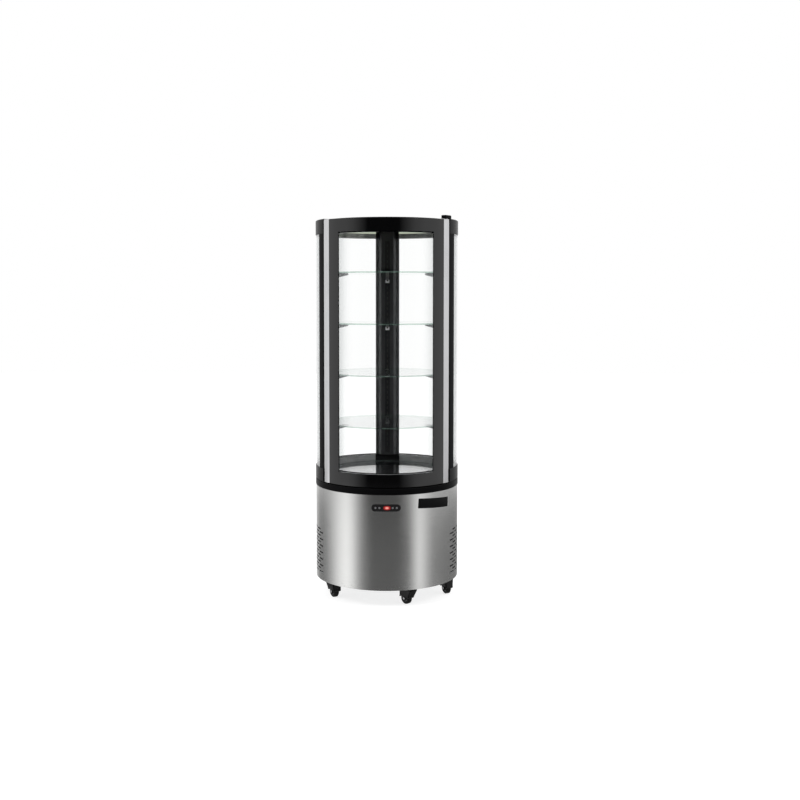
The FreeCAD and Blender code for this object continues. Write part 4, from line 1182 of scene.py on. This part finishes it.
@dataclass
class DoorLeaf:
    """Curved door with its printed pane, bright stiles and soft seal."""

    seal_r: float = 0.30035
    seal_h: float = 5.5 * MM
    seal_half_w: float = 11.0 * MM
    seal_angle: float = 53.9
    seal_low: float = BASE_TOP + 53.0 * MM
    seal_high: float = RING_LOW + 44.0 * MM
    seal_round: float = 14.0 * MM
    corner_steps: int = 8
    pace: float = 6.0 * MM

    def build(self) -> None:
        """Dress the door and make its seal."""
        dress(DOOR_GLASS, ("door_outer_pane",))
        dress(PLAIN_GLASS, ("door_inner_pane",))
        dress(SPACER, ("door_spacer",))
        dress(BLACK_TRIM, ("door_rails",))
        dress(ALUMINIUM, ("door_hinge_stile", "door_handle_stile"))
        dress(ZINC, ("door_hinge_pins",))
        seal = self.seal()
        settle(seal, Body.DOOR.value)
        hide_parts("door_gasket")

    def section(self) -> bpy.types.Object:
        """Outline across the seal: a flange, two soft lobes and a magnet bar.

        Returns:
            The outline as a closed curve.
        """
        w, h = self.seal_half_w, self.seal_h
        lobes = [(0.96, 0.62), (0.86, 0.30), (0.70, 0.16), (0.54, 0.30), (0.47, 0.52), (0.40, 0.12),
                 (0.30, 0.0)]
        right = [(w * a, h * b) for a, b in lobes]
        outline = [(w, h), *right, *[(-a, b) for a, b in reversed(right)], (-w, h)]
        curve = bpy.data.curves.new("seal_section", "CURVE")
        curve.dimensions = "3D"
        spline = curve.splines.new("POLY")
        spline.points.add(len(outline) - 1)
        for point, (across, depth) in zip(spline.points, outline):
            point.co = (across, depth, 0.0, 1.0)
        spline.use_cyclic_u = True
        return link("seal_section", curve)

    def tree(self) -> bpy.types.NodeTree:
        """Sweep the section round a flat loop, then bend the loop round the case.

        Returns:
            The tree.
        """
        graph, size = geometry_graph("door_seal", {
            "Section": "Object", "Width": "Float", "Height": "Float", "Corner": "Float", "Pace": "Float",
            "Radius": "Float", "Middle": "Float", "Finish": "Material"})
        loop = graph.add("GeometryNodeCurvePrimitiveQuadrilateral", {"mode": "RECTANGLE"},
                         {"Width": size["Width"], "Height": size["Height"]})
        soft = graph.add("GeometryNodeFilletCurve", {"mode": "POLY"},
                         {"Curve": loop, "Count": self.corner_steps, "Radius": size["Corner"]})
        even = graph.add("GeometryNodeResampleCurve", {"mode": "LENGTH"},
                         {"Curve": soft, "Length": size["Pace"]})
        section = graph.add("GeometryNodeObjectInfo", {}, {"Object": size["Section"]}, "Geometry")
        flat = graph.add("GeometryNodeCurveToMesh", {}, {"Curve": even, "Profile Curve": section})
        along, rise, depth = graph.axes(graph.add("GeometryNodeInputPosition"))
        turn, reach = along / size["Radius"], size["Radius"] + abs(depth)
        bent = graph.vector(graph.calc("SINE", turn) * reach, 0.0 - graph.calc("COSINE", turn) * reach,
                            rise + size["Middle"])
        round_case = graph.add("GeometryNodeSetPosition", {}, {"Geometry": flat, "Position": bent})
        graph.end_geometry(round_case, size["Finish"])
        return graph.tree

    def seal(self) -> bpy.types.Object:
        """Make the seal.

        Returns:
            The finished seal.
        """
        section = self.section()
        values = {"Section": section, "Width": 2 * self.seal_r * math.radians(self.seal_angle),
                  "Height": self.seal_high - self.seal_low, "Corner": self.seal_round, "Pace": self.pace,
                  "Radius": self.seal_r, "Middle": (self.seal_high + self.seal_low) / 2,
                  "Finish": SEAL_RUBBER.material()}
        seal = bake("door_seal", self.tree(), values, section)
        shape = bmesh.new()
        shape.from_mesh(seal.data)
        close_up(shape, seal.data)
        return seal


@dataclass
class CasterSet:
    """Four swivel casters with hub rings, axle caps and moulded hoods, two of them with a brake pedal."""

    count: int = 4
    hub_in: float = 4.7 * MM
    hub_out: float = 16.6 * MM
    hub_face: float = 9.0 * MM
    hub_t: float = 1.8 * MM
    cap_r: float = 5.6 * MM
    cap_face: float = 18.0 * MM
    cap_t: float = 1.8 * MM
    hood_low: float = 31.0 * MM
    hood_top: float = 70.0 * MM
    hood_arch: float = 10.0 * MM
    hood_foot: tuple[float, float] = (30.5 * MM, 21.0 * MM)
    hood_head: tuple[float, float] = (39.0 * MM, 26.0 * MM)
    hood_head_trail: float = 4.0 * MM
    hood_t: float = 2.0 * MM
    hood_bead: float = 0.7 * MM
    hood_steps: int = 72
    pedal: Triple = (14.0 * MM, 18.0 * MM, 3.0 * MM)
    pedal_bite: float = 5.0 * MM
    pedal_drop: float = 4.0 * MM
    pedal_level: float = 0.42
    pedal_taper: float = 0.2
    pedal_ribs: tuple[float, ...] = (0.3, 0.44, 0.58, 0.72, 0.86, 1.0)
    rib_share: float = 0.72
    turn_steps: int = 28
    braked: tuple[int, ...] = (1, 3)

    def build(self) -> None:
        """Dress the casters and add the small pieces."""
        numbers = range(1, self.count + 1)
        dress(CASTER_COAT, ["caster_plates"] + [f"caster_fork_{k}" for k in numbers])
        dress(TREAD, (f"caster_wheel_{k}" for k in numbers))
        axles = {joint["name"]: joint for joint in frame["joints"]}
        for k in numbers:
            axle = axles[f"caster_roll_{k}"]
            hub = self.on_axle(f"hub_rings_{k}", self.hub_outline(), self.hub_face, axle, HUB)
            settle(hub, f"caster_roller_{k}")
            cap = self.on_axle(f"axle_caps_{k}", self.cap_outline(), self.cap_face, axle, ZINC)
            settle(cap, f"caster_swivel_{k}")
            hood = self.hood(k, Vector(axles[f"caster_swivel_{k}"]["pos_m"]), Vector(axle["pos_m"]))
            settle(hood, f"caster_swivel_{k}")

    def hood(self, number: int, king: Vector, middle: Vector) -> bpy.types.Object:
        """Moulded hood over a wheel: a flared shell with a beaded, arched foot.

        Args:
            number: Number of the caster.
            king: A point on the swivel axis.
            middle: Middle of the wheel.

        Returns:
            The hood, with a pedal where the caster has a brake.
        """
        trail = Vector((middle.x - king.x, middle.y - king.y, 0.0))
        reach = trail.length
        along = trail.normalized()
        aside = Vector((-along.y, along.x, 0.0))
        section = ((0.0, 1.0), (0.0, 0.14), (self.hood_bead, 0.1), (self.hood_bead, 0.03), (0.0, 0.0),
                   (-self.hood_t, 0.0), (-self.hood_t, 1.0))
        shape, rings = bmesh.new(), []
        for step in range(self.hood_steps):
            turn = math.tau * step / self.hood_steps
            round_way = (math.cos(turn), math.sin(turn))
            lean, side = (math.copysign(abs(part) ** (1 / 3), part) for part in round_way)
            foot = self.hood_low + self.hood_arch * math.sin(turn) ** 4
            ring = []
            for out, share in section:
                halves = zip(self.hood_foot, self.hood_head)
                half_l, half_w = (low + (high - low) * share + out for low, high in halves)
                start = reach + (self.hood_head_trail - reach) * share
                flat = along * (start + half_l * lean) + aside * half_w * side
                height = foot + (self.hood_top - foot) * share
                ring.append(shape.verts.new((king.x + flat.x, king.y + flat.y, height)))
            rings.append(ring)
        for here, there in zip(rings, rings[1:] + rings[:1]):
            join(shape, here, there)
        if number in self.braked:
            self.add_pedal(shape, king, along, aside)
        return as_object(f"caster_hood_{number}", shape, CASTER_COAT)

    def add_pedal(self, shape: bmesh.types.BMesh, king: Vector, along: Vector, aside: Vector) -> None:
        """Add a ribbed foot pedal behind a hood.

        Args:
            shape: The hood's mesh.
            king: A point on the swivel axis.
            along: Direction from the swivel axis to the wheel.
            aside: Direction of the axle.
        """
        length, width, thick = self.pedal
        root = self.hood_head[0] - self.hood_head_trail - self.pedal_bite
        lows = (thick * self.rib_share, thick)
        ribs = [(share, lows[k % 2]) for k, share in enumerate(self.pedal_ribs)]
        outline = [(0.0, 0.0), (0.0, thick), *ribs, (1.0, 0.0)]
        level = self.hood_low + (self.hood_top - self.hood_low) * self.pedal_level
        sides = []
        for side in (-width / 2, width / 2):
            row = []
            for share, lift in outline:
                flat = along * -(root + length * share) + aside * side * (1.0 - self.pedal_taper * share)
                height = level + lift - self.pedal_drop * share
                row.append(shape.verts.new((king.x + flat.x, king.y + flat.y, height)))
            shape.faces.new(row)
            sides.append(row)
        join(shape, *sides)

    def hub_outline(self) -> Profile:
        """Ring with a raised rim, inside the dish of the wheel.

        Returns:
            Corners as radius and distance from the face.
        """
        a, b, t = self.hub_in, self.hub_out, self.hub_t
        return [(a, 0.0), (b, 0.0), (b, t * 0.6), (b * 0.93, t), (b * 0.8, t), (b * 0.76, t * 0.4),
                (a * 1.7, t * 0.4), (a * 1.5, t), (a, t)]

    def cap_outline(self) -> Profile:
        """Low dome over the end of the axle."""
        r, t = self.cap_r, self.cap_t
        return [(0.0, 0.0), (r, 0.0), (r, t * 0.3), (r * 0.9, t * 0.62), (r * 0.66, t * 0.88), (0.0, t)]

    def on_axle(self, name: str, outline: Profile, face: float, axle: dict,
                finish: Finish) -> bpy.types.Object:
        """Put a turned shape on both ends of an axle.

        Args:
            name: Name of the piece.
            outline: Section as radius and distance from the face.
            face: Distance of the face from the middle of the wheel.
            axle: The record's joint, with its place and axis.
            finish: Finish of the piece.

        Returns:
            The piece with both ends.
        """
        whole = bmesh.new()
        middle, axis = Vector(axle["pos_m"]), Vector(axle["axis"]).normalized()
        for way in (axis, -axis):
            turn = way.to_track_quat("Z", "Y").to_matrix().to_4x4()
            turned(outline, self.turn_steps, whole, Matrix.Translation(middle + way * face) @ turn)
        return as_object(name, whole, finish)


@dataclass
class MachineSpace:
    """Cooling machine in the base and the cold well."""

    def build(self) -> None:
        """Dress the machine."""
        dress(ENAMEL, ("compressor", "condenser_fan_mount"))
        dress(FINS, ("condenser_coil", "evaporator_coil", "evaporator_fan_mount"))
        dress(FAN_BLACK, ("condenser_fan", "evaporator_fan"))
        dress(COPPER, ("refrigerant_lines",))


@dataclass
class Studio:
    """Pale floor, soft light, white surroundings and the camera."""

    lens: float = 48.68
    away: float = 5.164
    eye: float = BASE_LOW + 1.3413
    azimuth: float = 0.6
    pitch: float = 3.0
    shift_x: float = 0.01644
    shift_y: float = -0.0618
    floor_half: float = 14.0
    wall_r: float = 20.0
    wall_t: float = 0.5
    wall_half: float = 66.0
    wall_steps: int = 96
    wall_split: tuple[float, float] = (-3.26, -2.85)
    lamp_reach: float = 2.6
    lamp_height: float = 3.9
    lamp_size: float = 1.6
    lamp_watts: tuple[float, float] = (70.0, 55.0)
    aim: Triple = (0.0, 0.0, 0.9)
    light: Colour = grey(0.7)
    upper: Profile = (
        (-180.0, 1.0), (-100.0, 1.0), (-66.0, 1.1), (-54.0, 0.9), (-30.0, 0.03), (20.0, 0.03), (46.0, 0.9),
        (64.0, 1.1), (100.0, 1.0), (180.0, 1.0))
    lower: Profile = (
        (-180.0, 0.85), (-158.0, 0.75), (-143.0, 0.38), (-131.0, 0.27), (-114.0, 0.35), (-100.0, 0.66),
        (-89.0, 1.05), (-77.0, 1.48), (-67.0, 1.68), (-57.0, 1.42), (-48.0, 0.8), (-40.0, 0.42),
        (-31.0, 0.28), (-23.0, 0.19), (22.0, 0.19), (35.0, 0.25), (44.0, 0.78), (53.0, 1.3), (62.0, 0.96),
        (72.0, 0.54), (82.0, 0.33), (107.0, 0.25), (142.0, 0.25), (180.0, 0.4))

    def build(self) -> None:
        """Set up the surroundings, lamps, floor and camera."""
        bpy.context.scene.view_settings.view_transform = "Standard"
        bpy.context.scene.cycles.transparent_max_bounces = 40
        self.surroundings()
        self.wall()
        self.floor()
        for side, watts in zip((-1.0, 1.0), self.lamp_watts):
            self.lamp(side, watts)
        self.camera()

    def surroundings(self) -> None:
        """White to the eye, in gloss and through glass, and a plain light for the rest."""
        world = bpy.data.worlds.new("studio_surroundings")
        bpy.context.scene.world = world
        world.use_nodes = True
        graph = Graph(world.node_tree)
        colour = graph.blend(graph.seen(), self.light, WHITE)
        background = graph.add("ShaderNodeBackground", {}, {"Color": colour, "Strength": 1.0})
        graph.end("ShaderNodeOutputWorld", background)

    def wall(self) -> None:
        """Round wall of studio cards far outside the picture, which the steel mirrors."""
        near, far, half = self.wall_r, self.wall_r + self.wall_t, self.wall_half
        cards = CardFinish("studio_cards", self.lower, self.upper, *self.wall_split)
        ring = turned(((near, -half), (far, -half), (far, half), (near, half)), self.wall_steps)
        wall = as_object("studio_wall", ring, cards)
        wall.visible_camera = wall.visible_transmission = False

    def floor(self) -> None:
        """Pale floor that keeps a faint shadow."""
        shape = bmesh.new()
        bmesh.ops.create_grid(shape, x_segments=1, y_segments=1, size=self.floor_half)
        floor = as_object("studio_floor", shape, FLOOR)
        floor.visible_glossy = False

    def lamp(self, side: float, watts: float) -> None:
        """Hang a soft lamp high on one side.

        Args:
            side: -1 for left, 1 for right.
            watts: Its power.
        """
        data = bpy.data.lights.new("soft_lamp", "AREA")
        data.size = self.lamp_size
        data.energy = watts
        lamp = link("soft_lamp", data)
        lamp.location = (side * self.lamp_reach, -self.lamp_reach, self.lamp_height)
        aim = Vector(self.aim) - lamp.location
        lamp.rotation_euler = aim.to_track_quat("-Z", "Y").to_euler()

    def camera(self) -> None:
        """Place the camera at the photograph's viewing angle."""
        data = bpy.data.cameras.new("photo_camera")
        data.lens = self.lens
        data.shift_x, data.shift_y = self.shift_x, self.shift_y
        camera = link("photo_camera", data)
        camera.location = polar(self.away, self.azimuth, self.eye)
        camera.rotation_euler = (math.radians(90.0 - self.pitch), 0.0, math.radians(self.azimuth))
        bpy.context.scene.camera = camera


def main() -> None:
    """Build every sub-assembly in order."""
    logging.basicConfig(level=logging.INFO)
    for kind in (BaseCabinet, ControlPanel, GlassBody, TopCap, DoorLeaf, CasterSet, MachineSpace, Studio):
        LOG.info("building %s", kind.__name__)
        kind().build()


if __name__ == "__main__":
    main()
